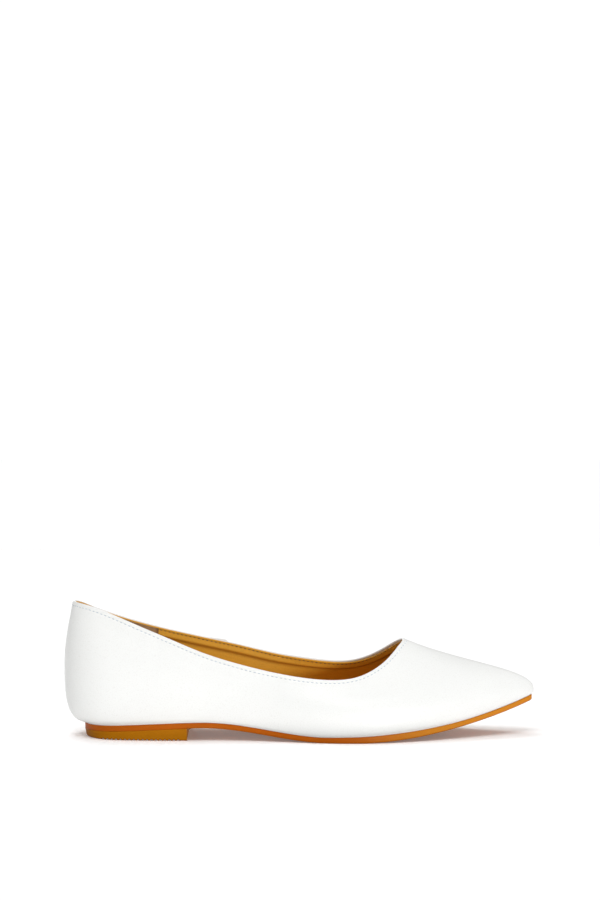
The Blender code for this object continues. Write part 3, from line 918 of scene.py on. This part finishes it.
def leather_relief(points, down):
    """How far the leather stands out of the plain wall."""
    upper = bpy.context.scene.pointed_flat_upper
    stitching = bpy.context.scene.pointed_flat_stitching
    x = points[:, :, 0]
    puff = PUFF * bump(down - 0.0008, 0.0009)
    sewn = -SEWN_IN * bump(down - stitching.outer_drop, 0.00055)
    fold = FOLD_SHOWS * ease(1 - (down - upper.fold) / 0.0030) * ease(down / 0.002)
    counter = -COUNTER_EDGE * bump(x - COUNTER_FRONT + down * 0.15, 0.0060) * ease(1 - down / 0.030)
    lasted = 1 - ease((WHOLE.length - down) / 0.006)
    ripples = np.sin(x * 900.0) * np.sin(x * 371.0 + 1.0)
    near_ends = ease((x - 0.205) / 0.030) + ease((0.035 - x) / 0.030)
    pulled = PULLED * ripples * lasted * near_ends
    return puff + sewn + fold + counter + pulled + seam_relief(x, down)


def leather_face(down, lift=0.0):
    """Rings of points on the leather, or lifted off it, and the directions out of it."""
    points, out = WHOLE.rings(down)
    return points + out * (leather_relief(points, down)[:, :, None] + lift), out


def seam_relief(x, down):
    """The side seam on the inner side: the back panel lies over the front one, along a slanting line."""
    place = x - seam_x(down)
    over = SEAM_STEP * (1 - ease(place / 0.0006 + 0.5)) * ease(1 + place / 0.012)
    trough = -TROUGH * bump(place - 0.0005, 0.0008)
    return (over + trough) * WHOLE.inner_side


class POINTEDFLAT_OT_upper(bpy.types.Operator):
    """Makes the outer leather, folded over at the topline and turned in over the sole"""

    bl_idname = "pointed_flat.upper"
    bl_label = "Upper leather"

    def execute(self, context):
        upper = context.scene.pointed_flat_upper
        down = spread(LEATHER_STEPS, 52, WHOLE)
        outer, out = leather_face(down)
        level = WHOLE.level
        up = np.array([0.0, 0.0, 1.0])
        bottom = [margin_edge(), WHOLE.foot - level * TURN_RADIUS]
        for angle in (30.0, 60.0):
            lean = math.radians(angle)
            inwards = level * TURN_RADIUS * (1 - math.sin(lean))
            bottom.append(WHOLE.foot - inwards + up * TURN_RADIUS * (1 - math.cos(lean)))
        radius = upper.leather / 2
        along = unit(outer[0] - outer[1])
        side = unit(out[0] - along * np.sum(out[0] * along, axis=1)[:, None])
        centre = outer[0] - side * radius
        lift = seam_lift()[:, None]
        rim = []
        for angle in np.linspace(0.0, math.pi, 11)[1:]:
            rim.append(centre + side * radius * math.cos(angle) + along * (radius * math.sin(angle) + lift))
        inside = spread([0.0008, 0.0016, 0.0030, 0.0050, 0.0080], 14, WHOLE)
        inner = within(WHOLE, SHORT, upper.leather, inside, upper.leather)
        turned = margin_edge()
        turned[:, 2] += upper.leather
        rows = np.array([*bottom, *outer[::-1], *rim, *inner, turned])
        shell = close_up(laid_grid("upper_leather", tube(rows)))
        colour = tuple(upper.leather_colour)
        finish_piece(
            shell, leather_material("white_leather", colour, 0.45, 0.000015), ["upper"]
        )
        return {"FINISHED"}


def seam_lift():
    """How much higher the folded edge stands at the side seam on the inner side."""
    upper = bpy.context.scene.pointed_flat_upper
    place = WHOLE.rows[0][:, 0] - upper.seam_place
    return SEAM_RISE * (1 - ease(place / 0.0014 + 0.5)) * ease(1 + place / 0.014) * WHOLE.inner_side


def lining_depth(down):
    """Depth of the lining's face below the outer face. It stands proud over the leather's folded edge."""
    upper = bpy.context.scene.pointed_flat_upper
    stitching = bpy.context.scene.pointed_flat_stitching
    fold = FOLD_PROUD * (1 - ease((down - upper.fold) / 0.0018 + 0.5))
    sewn = -LINING_SEWN_IN * bump(down - stitching.inner_drop, 0.0006)
    soft = LINING_SOFT * bump(down - 0.0034, 0.0016)
    crease = -LINING_CREASE * bump(down - upper.fold - 0.0004, 0.0014)
    return WALL + fold + sewn + soft + crease


def lining_edge():
    """How far below the topline the lining is trimmed, for each rib. It is lowest at the throat."""
    drop = bpy.context.scene.pointed_flat_upper.lining_drop
    return drop + THROAT_DROP * ease((WHOLE.rows[0][:, 0] - THROAT_FROM) / THROAT_OVER)


def painted_shade(down):
    """How much painted shade the lining gets, from 0 to 1: painted shade in the crease under the turned edge,
    and a fainter darkening along the row of stitches.
    """
    upper = bpy.context.scene.pointed_flat_upper
    stitching = bpy.context.scene.pointed_flat_stitching
    crease = bump(down - upper.fold - 0.0002, 0.0016)
    return np.maximum(0.75 * crease, 0.35 * bump(down - stitching.inner_drop, 0.0006))


def lining_rows():
    """Distances below the topline of the rows of points on the lining's face."""
    return spread(LINING_STEPS, 36, WHOLE, lining_edge())


class POINTEDFLAT_OT_lining(bpy.types.Operator):
    """Makes the tan lining and the suede heel grip inside the upper"""

    bl_idname = "pointed_flat.lining"
    bl_label = "Lining"

    def execute(self, context):
        upper = context.scene.pointed_flat_upper
        down = lining_rows()
        face = within(WHOLE, SHORT, lining_depth(down)[:, :, None], down, WALL)
        behind = spread([0.0, 0.0020, 0.0060], 14, WHOLE, lining_edge())
        back = within(WHOLE, SHORT, upper.leather + BARE_GAP, behind, upper.leather + BARE_GAP)
        along = unit(face[0] - face[1])
        middle, half = (face[0] + back[0]) / 2, (face[0] - back[0]) / 2
        radius = np.linalg.norm(half, axis=1)[:, None]
        rim = []
        for angle in np.linspace(0.0, math.pi, 7)[1:-1]:
            rim.append(middle - half * math.cos(angle) + along * radius * 0.8 * math.sin(angle))
        rows = np.array([*face[::-1], *rim[::-1], *back])
        lining = laid_grid("lining", tube(rows))
        # Painted shade: the lining's face is marked darker in the crease under the turned edge and along its
        # row of stitches
        shade = np.zeros(rows.shape[:2])
        shade[: len(face)] = painted_shade(down)[::-1]
        mark_points(lining, "painted_shade", tube(shade))
        close_up(lining)
        finish_piece(
            lining,
            leather_material(
                "tan_lining", tuple(upper.lining_colour), 0.58, 0.00003, cell_scale=1300.0, contrast=0.07,
                coat=0.0, gloss=0.15,
            ),
        )
        self.heel_grip(upper)
        return {"FINISHED"}

    @staticmethod
    def grip_ribs(upper):
        """The number of ribs on each side that the heel grip covers."""
        return int(np.sum(WHOLE.rows[0][: RIBS // 2, 0] <= upper.grip_length))

    def heel_grip(self, upper):
        """A skived patch of suede over the lining, from the back to a seam on each side."""
        count = self.grip_ribs(upper)
        picked = np.concatenate([np.arange(-count, 0), np.arange(0, count + 1)])
        down = lining_rows()[1:]
        base = lining_depth(down)[:, :, None] + BARE_GAP
        ends = np.minimum(np.arange(len(picked)), np.arange(len(picked))[::-1])
        thick = np.zeros(len(WHOLE.shares))
        thick[picked] = GRIP_THIN + GRIP_THICK * ease((ends + 0.5) / 2.5)
        face = within(WHOLE, SHORT, base + thick[None, :, None], down, WALL + GRIP_LIFT)
        back = within(WHOLE, SHORT, base, down, WALL + BARE_GAP)
        rows = np.array([*face[::-1], *back])[:, picked]
        rows = np.concatenate([rows, rows[:1]])
        grip = laid_grid("heel_grip", rows)
        # Painted shade along the grip's side edges: darkest at the edge and fading over three ribs
        mark_points(grip, "painted_shade", np.tile(1 - ease(ends / 3.0), (len(rows), 1)))
        close_up(grip, fill=True)
        finish_piece(grip, suede_material("brown_suede", tuple(upper.grip_colour)))


def along_line(points, ups, pitch, closed):
    """Places at an even pitch along a line of points, with the way along it and the way up at each."""
    if closed:
        points, ups = np.vstack([points, points[:1]]), np.vstack([ups, ups[:1]])
    way = distances(points)
    count = int(round(way[-1] / pitch))
    places = (np.arange(count) + 0.5) * way[-1] / count

    def pick(values, at):
        return np.column_stack([np.interp(at, way, values[:, k]) for k in range(3)])

    along = unit(pick(points, places + pitch / 4) - pick(points, places - pitch / 4))
    up = pick(ups, places)
    up = unit(up - along * np.sum(up * along, axis=1)[:, None])
    return pick(points, places), along, up


def sewn_row(name, lines, length, thread, material):
    """Stitches along lines of places: one stitch is shaped from a sphere and repeated along them."""
    bpy.ops.object.select_all(action="DESELECT")
    bpy.ops.mesh.primitive_uv_sphere_add(segments=8, ring_count=6, radius=1.0)
    one = bpy.context.object
    shape = np.array([v.co for v in one.data.vertices])
    faces = [list(p.vertices) for p in one.data.polygons]
    bpy.data.objects.remove(one)
    blunt = np.sign(shape[:, 2]) * np.abs(shape[:, 2]) ** 0.8
    radius = np.sqrt(np.clip(1 - shape[:, 2] ** 2, 0, 1))
    wide = np.where(radius > 1e-6, radius**0.55 / np.maximum(radius, 1e-6), 0.0)
    across, high = (shape[:, axis] * wide * thread / 2 for axis in (0, 1))
    local = np.column_stack([blunt * length / 2, across, high])
    local[:, 2] -= 0.9 * thread * np.abs(blunt) ** 3
    points, polygons = [], []
    for centre, along, up in lines:
        across = np.cross(up, along)
        for c, a, s, u in zip(centre, along, across, up):
            start = len(points) * len(local)
            points.append(c + local @ np.array([a, s, u]))
            polygons.extend([[start + v for v in face] for face in faces])
    mesh = bpy.data.meshes.new(name)
    mesh.from_pydata((np.concatenate(points) + FRAME_SHIFT).tolist(), [], polygons)
    mesh.update()
    obj = bpy.data.objects.new(name, mesh)
    bpy.context.scene.collection.objects.link(obj)
    close_up(obj)
    finish_piece(obj, material)


class POINTEDFLAT_OT_stitching(bpy.types.Operator):
    """Sews the row outside the topline, the row inside it and the seams of the heel grip"""

    bl_idname = "pointed_flat.stitching"
    bl_label = "Stitching"

    def execute(self, context):
        stitching = context.scene.pointed_flat_stitching
        upper = context.scene.pointed_flat_upper
        down = np.full((1, len(WHOLE.shares)), stitching.outer_drop)
        points, out = leather_face(down)
        line = along_line(points[0] + out[0] * THREAD_LIFT, out[0], stitching.pitch, True)
        white = thread_material("grey_thread", tuple(stitching.outer_colour))
        lines = [line, self.seam_line(upper, stitching)]
        sewn_row("topline_stitches", lines, OUTER_STITCH * stitching.pitch, THREAD, white)

        down = np.full((1, len(WHOLE.shares)), stitching.inner_drop)
        face = within(WHOLE, SHORT, lining_depth(down)[:, :, None], down, WALL)
        _, out = WHOLE.rings(down)
        lines = [along_line(face[0] - out[0] * LINING_THREAD_LIFT, -out[0], stitching.pitch, True)]
        beside = POINTEDFLAT_OT_lining.grip_ribs(upper) - BESIDE_GRIP
        lower = np.linspace(0.0036, 0.030, 24)[:, None] * np.ones(len(WHOLE.shares))
        depth = lining_depth(lower)[:, :, None] + GRIP_THREAD_LIFT
        wall = within(WHOLE, SHORT, depth, lower, WALL)
        _, out = WHOLE.rings(lower)
        for rib in (beside, -beside):
            lines.append(along_line(wall[:, rib], -out[:, rib], stitching.pitch, False))
        brown = thread_material("brown_thread", tuple(stitching.inner_colour))
        sewn_row("lining_stitches", lines, INNER_STITCH * stitching.pitch, THREAD, brown)
        return {"FINISHED"}

    def seam_line(self, upper, stitching):
        """A row beside the edge of the panel that overlaps at the side seam."""
        inner_ribs = np.arange(len(WHOLE.shares) - 1, RIBS, -1)
        levels = np.linspace(stitching.outer_drop + 0.0012, 0.030, 60)
        down = levels[:, None] * np.ones(len(WHOLE.shares))
        points, out = leather_face(down, THREAD_LIFT)
        picked, ways = [], []
        for k, level in enumerate(levels):
            x = points[k, inner_ribs, 0]
            wanted = seam_x(level) - SEAM_ROW
            picked.append([np.interp(wanted, x, points[k, inner_ribs, axis]) for axis in range(3)])
            ways.append([np.interp(wanted, x, out[k, inner_ribs, axis]) for axis in range(3)])
        return along_line(np.array(picked), np.array(ways), stitching.pitch, False)


def seam_x(down):
    """Where the side seam lies, at distances below the topline."""
    return bpy.context.scene.pointed_flat_upper.seam_place - SEAM_SLANT * down


def cross_sections(outer, inner, loops, cut=False, bow=0.0, run=1.0, square=False):
    """Rows of points for a plate between two side curves: one closed loop across it for each place along it.

    loops: for each point of the loop, (share of the way across, inset from the edge, function of x and y that
    gives the height). The insets are taken square to the outline.
    cut: whether the front is cut across, in place of running to a point. bow: how far the middle of a cut
    front stands out, or in when it is negative. run: the larger, the shorter the stretch before the front that
    bows. square: whether the sides end straight ahead.
    """
    out = outward(np.vstack([outer, inner[:0:-1] if cut else inner[-2:0:-1]]))
    last = len(outer) - 1
    out_outer = out[: last + 1].copy()
    out_inner = np.vstack([out[:1], out[: last if cut else last - 1 : -1]])
    if square:
        for side in (out_outer, out_inner):
            side[-1] = (0.0, np.sign(side[-2][1]))
    reach = ease(np.linspace(-run, 1.0, len(outer)))
    rows = []
    for share, inset, height in loops:
        middle = (outer - out_outer * inset) * (1 - share) + (inner - out_inner * inset) * share
        middle[:, 0] += 4 * share * (1 - share) * bow * reach
        rows.append(np.column_stack([middle, height(middle[:, 0], middle[:, 1])]))
    return np.array(rows)


def mark_height(obj, base, over=0.0):
    """Stores each point's height above a surface, for the materials. What lies behind over isn't an edge."""
    co = np.array([v.co for v in obj.data.vertices]) - FRAME_SHIFT
    values = np.where(co[:, 0] < over, 1.0, co[:, 2] - base(co[:, 0]))
    mark_points(obj, "sole_height", values)


class POINTEDFLAT_OT_outsole(bpy.types.Operator):
    """Makes the thin curved sole with its rounded edges and the tread under the ball"""

    bl_idname = "pointed_flat.outsole"
    bl_label = "Outsole"

    def execute(self, context):
        bottom = context.scene.pointed_flat_bottom
        shares = crowded(SOLE_RIBS)
        outer, inner = (side(shares) for side in sole_sides())

        def tread(x, share):
            ribs = 0.5 + 0.5 * np.cos(2 * math.pi * x / bottom.tread_pitch)
            place = ease((x - 0.120) / 0.006) * ease((0.222 - x) / 0.006)
            inside = ease((0.5 - abs(share - 0.5)) / 0.06 - 1)
            return bottom.tread_depth * ease(ribs * 1.6 - 0.3) * place * inside

        # The lower edge is rounded, apart from where the heel block sits under it
        free = 0.15 + 0.85 * ease((outer[:, :1] - BREAST + 0.002) / 0.004)
        loops = []
        for share in np.linspace(0.0, 1.0, 33):
            loops.append((share, 0.0011 * free, lambda x, y, s=share: sole_underside(x) + tread(x, s)))
        rounding = [(0.00045, 0.00008), (0.00012, 0.00035), (0.0, 0.0008), (0.0, 0.0015), (0.0, 0.0022)]
        for inset, height in rounding:
            loops.append((1.0, inset * free, lambda x, y, h=height: sole_underside(x) + h))
        loops.append((1.0, 0.0, lambda x, y: sole_top(x) - 0.0003))
        loops.append((1.0, 0.00005, lambda x, y: sole_top(x) - 0.00005))
        for share in np.linspace(1.0, 0.0, 9):
            loops.append((share, 0.0004, lambda x, y: sole_top(x)))
        loops.append((0.0, 0.00005, lambda x, y: sole_top(x) - 0.00005))
        loops.append((0.0, 0.0, lambda x, y: sole_top(x) - 0.0003))
        for inset, height in rounding[::-1]:
            loops.append((0.0, inset * free, lambda x, y, h=height: sole_underside(x) + h))
        sole = plate("sole", cross_sections(outer, inner, loops))
        mark_height(sole, sole_underside, BREAST)
        finish_piece(
            sole,
            rubber_material(
                "orange_rubber", tuple(bottom.sole_colour), 0.42, tuple(bottom.under_colour), 0.0001, 0.0008,
                tuple(bottom.toe_colour),
            ),
            ["outsole"],
        )
        return {"FINISHED"}


class POINTEDFLAT_OT_heel(bpy.types.Operator):
    """Makes the low heel block with ribs across its foot and a hollow breast"""

    bl_idname = "pointed_flat.heel"
    bl_label = "Heel block"

    def execute(self, context):
        bottom = context.scene.pointed_flat_bottom
        fine = np.linspace(0.0, 1.0, FIT_SAMPLES)
        ends = [np.interp(BREAST, side(fine)[:, 0], fine) for side in sole_sides()]
        spacing = np.linspace(0.0, 1.0, HEEL_RIBS + 1) ** HEEL_CROWDING
        outer, inner = (side(spacing * end) for side, end in zip(sole_sides(), ends))

        def ribs(x):
            inside = (x > GROOVE_START - GROOVE_PITCH / 2) & (x < BREAST - BREAST_HOLLOW - GROOVE_WIDTH / 2)
            phase = (x - GROOVE_START + GROOVE_PITCH / 2) % GROOVE_PITCH - GROOVE_PITCH / 2
            groove = ease((GROOVE_WIDTH / 2 - np.abs(phase)) / 0.0003 + 0.5)
            return np.where(inside, GROOVE_DEPTH * groove, 0.0)

        # The block narrows a little towards the floor, and its lower edge is rounder at the back
        taper = 0.4 * HEEL_TAPER
        corner = 0.0005 + 0.0011 * (1 - ease((outer[:, :1] - HEEL_OVERHANG) / 0.012))
        foot = [(1.0, 0.45, 0.00010), (1.0, 0.20, 0.00030), (0.95, 0.05, 0.00070), (0.90, 0.0, 0.00120)]
        wall = [(0.6, 0.0, 0.0025), (0.1, 0.0, -0.0006), (0.0, 0.00005, -0.00005)]
        loops = [(share, taper + corner, 0.0) for share in np.linspace(0.0, 1.0, 25)]
        loops += [(1.0, taper * part + corner * extra, height) for part, extra, height in foot + wall]
        loops += [(share, 0.0002, -1.0) for share in np.linspace(1.0, 0.0, 7)]
        loops += [(0.0, taper * part + corner * extra, height) for part, extra, height in (foot + wall)[::-1]]

        def height_of(wanted):
            if wanted == -1.0:
                return lambda x, y: sole_underside(x) - LEATHER_LIFT
            if wanted < 0:
                return lambda x, y: sole_underside(x) - LEATHER_LIFT + wanted
            return lambda x, y: np.maximum(wanted, ribs(x))

        loops = [(share, inset, height_of(height)) for share, inset, height in loops]
        rows = cross_sections(outer, inner, loops, cut=True, bow=-BREAST_HOLLOW, run=4.0, square=True)
        heel = plate("heel_block", rows)
        mark_height(heel, lambda x: np.zeros(len(x)))
        finish_piece(
            heel,
            rubber_material(
                "golden_rubber", tuple(bottom.heel_colour), 0.46, tuple(bottom.under_colour), 0.0002, 0.0009
            ),
            ["heel"],
        )
        return {"FINISHED"}


class POINTEDFLAT_OT_insole(bpy.types.Operator):
    """Makes the padded insole with its soft rounded edge"""

    bl_idname = "pointed_flat.insole"
    bl_label = "Insole"

    def execute(self, context):
        upper = context.scene.pointed_flat_upper
        base = 2 * GAP + WALL
        down = spread([0.012], 60, WHOLE)
        wall = within(WHOLE, SHORT, WALL, down, WALL)
        start, out = SHORT.foot[:, :2], SHORT.level[:, :2]
        heights = np.linspace(base - GAP, base + INSOLE_THICKNESS + GAP, 7)
        near = []
        for i in range(len(start)):
            rib = wall[::-1, i]
            over = rib[:, 2] - sole_top(rib[:, 0])
            near.append([[np.interp(h, over, rib[:, axis]) for axis in (0, 1)] for h in heights])
        near = np.array(near).reshape(-1, 2)
        free = []
        for point, way in zip(start, out):
            sideways = np.abs((near - point) @ [-way[1], way[0]])
            reach = (near - point) @ way
            free.append(reach[(sideways < 0.004) & (reach > -0.004)].min())
        even = sum(np.roll(free, shift) for shift in range(-8, 9)) / 17
        edge = start + out * (np.minimum(even, free) - INSOLE_CLEAR)[:, None]
        count = int(np.sum(SHORT.foot[: RIBS + 1, 0] < SHOE_LENGTH - INSOLE_SHORT))
        outer, inner = edge[:count], np.vstack([edge[:1], edge[:-count:-1]])
        top = base + INSOLE_THICKNESS

        def cushioned(share, x):
            side = 1 - abs(2 * share - 1)
            swell = CUSHION * ease(side * 1.4) - SIDES_SINK * (1 - ease(side * 8))
            return swell - HEEL_HOLLOW * bump(x - 0.036, 0.030) * side

        loops = [(share, 0.0, lambda x, y: sole_top(x) + base) for share in np.linspace(0.0, 1.0, 7)]
        loops.append((1.0, 0.0, lambda x, y: sole_top(x) + top - INSOLE_EDGE))
        for share in np.linspace(1.0, 0.0, 41):
            loops.append((share, 0.0002, lambda x, y, s=share: sole_top(x) + top + cushioned(s, x)))
        loops.append((0.0, 0.0, lambda x, y: sole_top(x) + top - INSOLE_EDGE))
        sock = plate("insole_sock", cross_sections(outer, inner, loops, cut=True, bow=INSOLE_BOW, run=9.0))
        finish_piece(
            sock,
            leather_material(
                "tan_insole", tuple(upper.lining_colour), 0.52, 0.00003, cell_scale=1300.0, contrast=0.06,
                coat=0.03, gloss=0.2,
            ),
            ["insole"],
        )
        return {"FINISHED"}


# Stage


class POINTEDFLAT_OT_stage(bpy.types.Operator):
    """Sets up the floor, the soft lights and the camera"""

    bl_idname = "pointed_flat.stage"
    bl_label = "Stage"

    def execute(self, context):
        stage = context.scene.pointed_flat_stage
        bpy.ops.object.select_all(action="DESELECT")
        bpy.ops.mesh.primitive_plane_add(size=FLOOR_SIZE, location=(0.0, 0.0, 0.0))
        floor = context.object
        floor.name = "floor"
        floor.data.materials.append(self.floor_material())
        for name, (towards, angle, strength) in SKY_LIGHTS.items():
            self.sky_light(name, towards, angle, strength)
        for name, (place, target, power) in DISK_LIGHTS.items():
            self.disk_light(name, place, target, power)
        context.scene.world = self.white_room()
        context.scene.view_settings.view_transform = "Standard"
        bpy.ops.object.camera_add(
            location=(0.0, -stage.camera_distance, stage.camera_height), rotation=(math.pi / 2, 0.0, 0.0)
        )
        camera = context.object
        camera.data.lens = stage.lens
        camera.data.sensor_width = SENSOR_MM
        camera.data.clip_end = FAR_CLIP
        context.scene.camera = camera
        return {"FINISHED"}

    def white_room(self):
        """Even light from all round. The camera sees it as plain white."""
        world = bpy.data.worlds.new("studio")
        world.use_nodes = True
        nodes = Nodes(world.node_tree)
        to_camera = nodes.node("ShaderNodeLightPath").outputs["Is Camera Ray"]
        strength = nodes.ranged(to_camera, ROOM_LIGHT, ROOM_WHITE)
        nodes.fill(nodes.tree.nodes["Background"], Color=(1.0, 1.0, 1.0), Strength=strength)
        return world

    def lamp(self, kind, name, place, target, power):
        """A light at a place, turned to a target."""
        bpy.ops.object.light_add(type=kind, location=place)
        lamp = bpy.context.object
        lamp.name = name
        lamp.data.energy = power
        way = np.array(target) - np.array(place)
        lamp.rotation_euler = (
            math.atan2(math.hypot(way[0], way[1]), -way[2]),
            0.0,
            math.atan2(way[1], way[0]) - math.pi / 2,
        )
        return lamp.data

    def sky_light(self, name, towards, angle, strength):
        """A soft light of the same strength all over the floor."""
        self.lamp("SUN", name, towards, (0.0, 0.0, 0.0), strength).angle = math.radians(angle)

    def disk_light(self, name, place, target, power):
        """A round light low over the floor, that mostly lights the wall of the shoe."""
        disk = self.lamp("AREA", name, place, target, power)
        disk.shape = "DISK"
        disk.size = DISK_SIZE

    def floor_material(self):
        """Pale paper that lights the sole, and is clear from below, so that the sole can be looked at."""
        shader = Shader("pale_paper")
        shader.fill(
            shader.surface,
            Base_Color=shader.tone(shader.clouds(Scale=6.0), (0.957, 0.957, 0.957), (0.963, 0.963, 0.963)),
            Roughness=0.9,
            Specular_IOR_Level=0.0,
            Emission_Color=(1.0, 1.0, 1.0),
            Emission_Strength=PAPER_GLOW,
        )

        def either(share, first, second):
            """A mix of two shaders."""
            made = shader.node("ShaderNodeMixShader")
            for socket, value in zip(made.inputs, (share, first.outputs[0], second.outputs[0])):
                shader.put(socket, value)
            return made

        path = shader.node("ShaderNodeLightPath").outputs
        near = shader.maths("LESS_THAN", path["Ray Length"], NEAR_FLOOR)
        first_bounce = shader.maths("LESS_THAN", path["Ray Depth"], 1.5)
        lighting = shader.maths("MULTIPLY", near, first_bounce)
        unseen = shader.maths("SUBTRACT", lighting, path["Is Camera Ray"], clamp=True)
        lit = either(unseen, shader.surface, shader.node("ShaderNodeEmission", Strength=NEAR_GLOW))
        behind = shader.node("ShaderNodeNewGeometry").outputs["Backfacing"]
        seen = either(behind, lit, shader.node("ShaderNodeBsdfTransparent"))
        shader.fill(shader.tree.nodes["Material Output"], Surface=seen.outputs[0])
        return shader.material


class POINTEDFLAT_PT_pieces(bpy.types.Panel):
    """Lists the pieces of the shoe and their sizes and colours"""

    bl_idname = "POINTEDFLAT_PT_pieces"
    bl_label = "Pointed flat"
    bl_space_type = "VIEW_3D"
    bl_region_type = "UI"
    bl_category = "Pointed flat"

    def draw(self, context):
        for operator in OPERATORS:
            self.layout.operator(operator.bl_idname)
        for name in PROPERTIES:
            group = getattr(context.scene, name)
            box = self.layout.box()
            for prop in group.bl_rna.properties:
                if prop.identifier not in ("rna_type", "name"):
                    box.prop(group, prop.identifier)


OPERATORS = (
    POINTEDFLAT_OT_upper,
    POINTEDFLAT_OT_lining,
    POINTEDFLAT_OT_stitching,
    POINTEDFLAT_OT_insole,
    POINTEDFLAT_OT_outsole,
    POINTEDFLAT_OT_heel,
    POINTEDFLAT_OT_stage,
)
PROPERTIES = {
    "pointed_flat_upper": PointedFlatUpper,
    "pointed_flat_stitching": PointedFlatStitching,
    "pointed_flat_bottom": PointedFlatBottom,
    "pointed_flat_stage": PointedFlatStage,
}


def register():
    for name, group in PROPERTIES.items():
        bpy.utils.register_class(group)
        setattr(bpy.types.Scene, name, bpy.props.PointerProperty(type=group))
    for made in (*OPERATORS, POINTEDFLAT_PT_pieces):
        bpy.utils.register_class(made)


def unregister():
    for made in (POINTEDFLAT_PT_pieces, *reversed(OPERATORS)):
        bpy.utils.unregister_class(made)
    for name, group in PROPERTIES.items():
        delattr(bpy.types.Scene, name)
        bpy.utils.unregister_class(group)


def main():
    register()
    for operator in OPERATORS:
        folder, name = operator.bl_idname.split(".")
        getattr(getattr(bpy.ops, folder), name)()


if __name__ == "__main__":
    main()
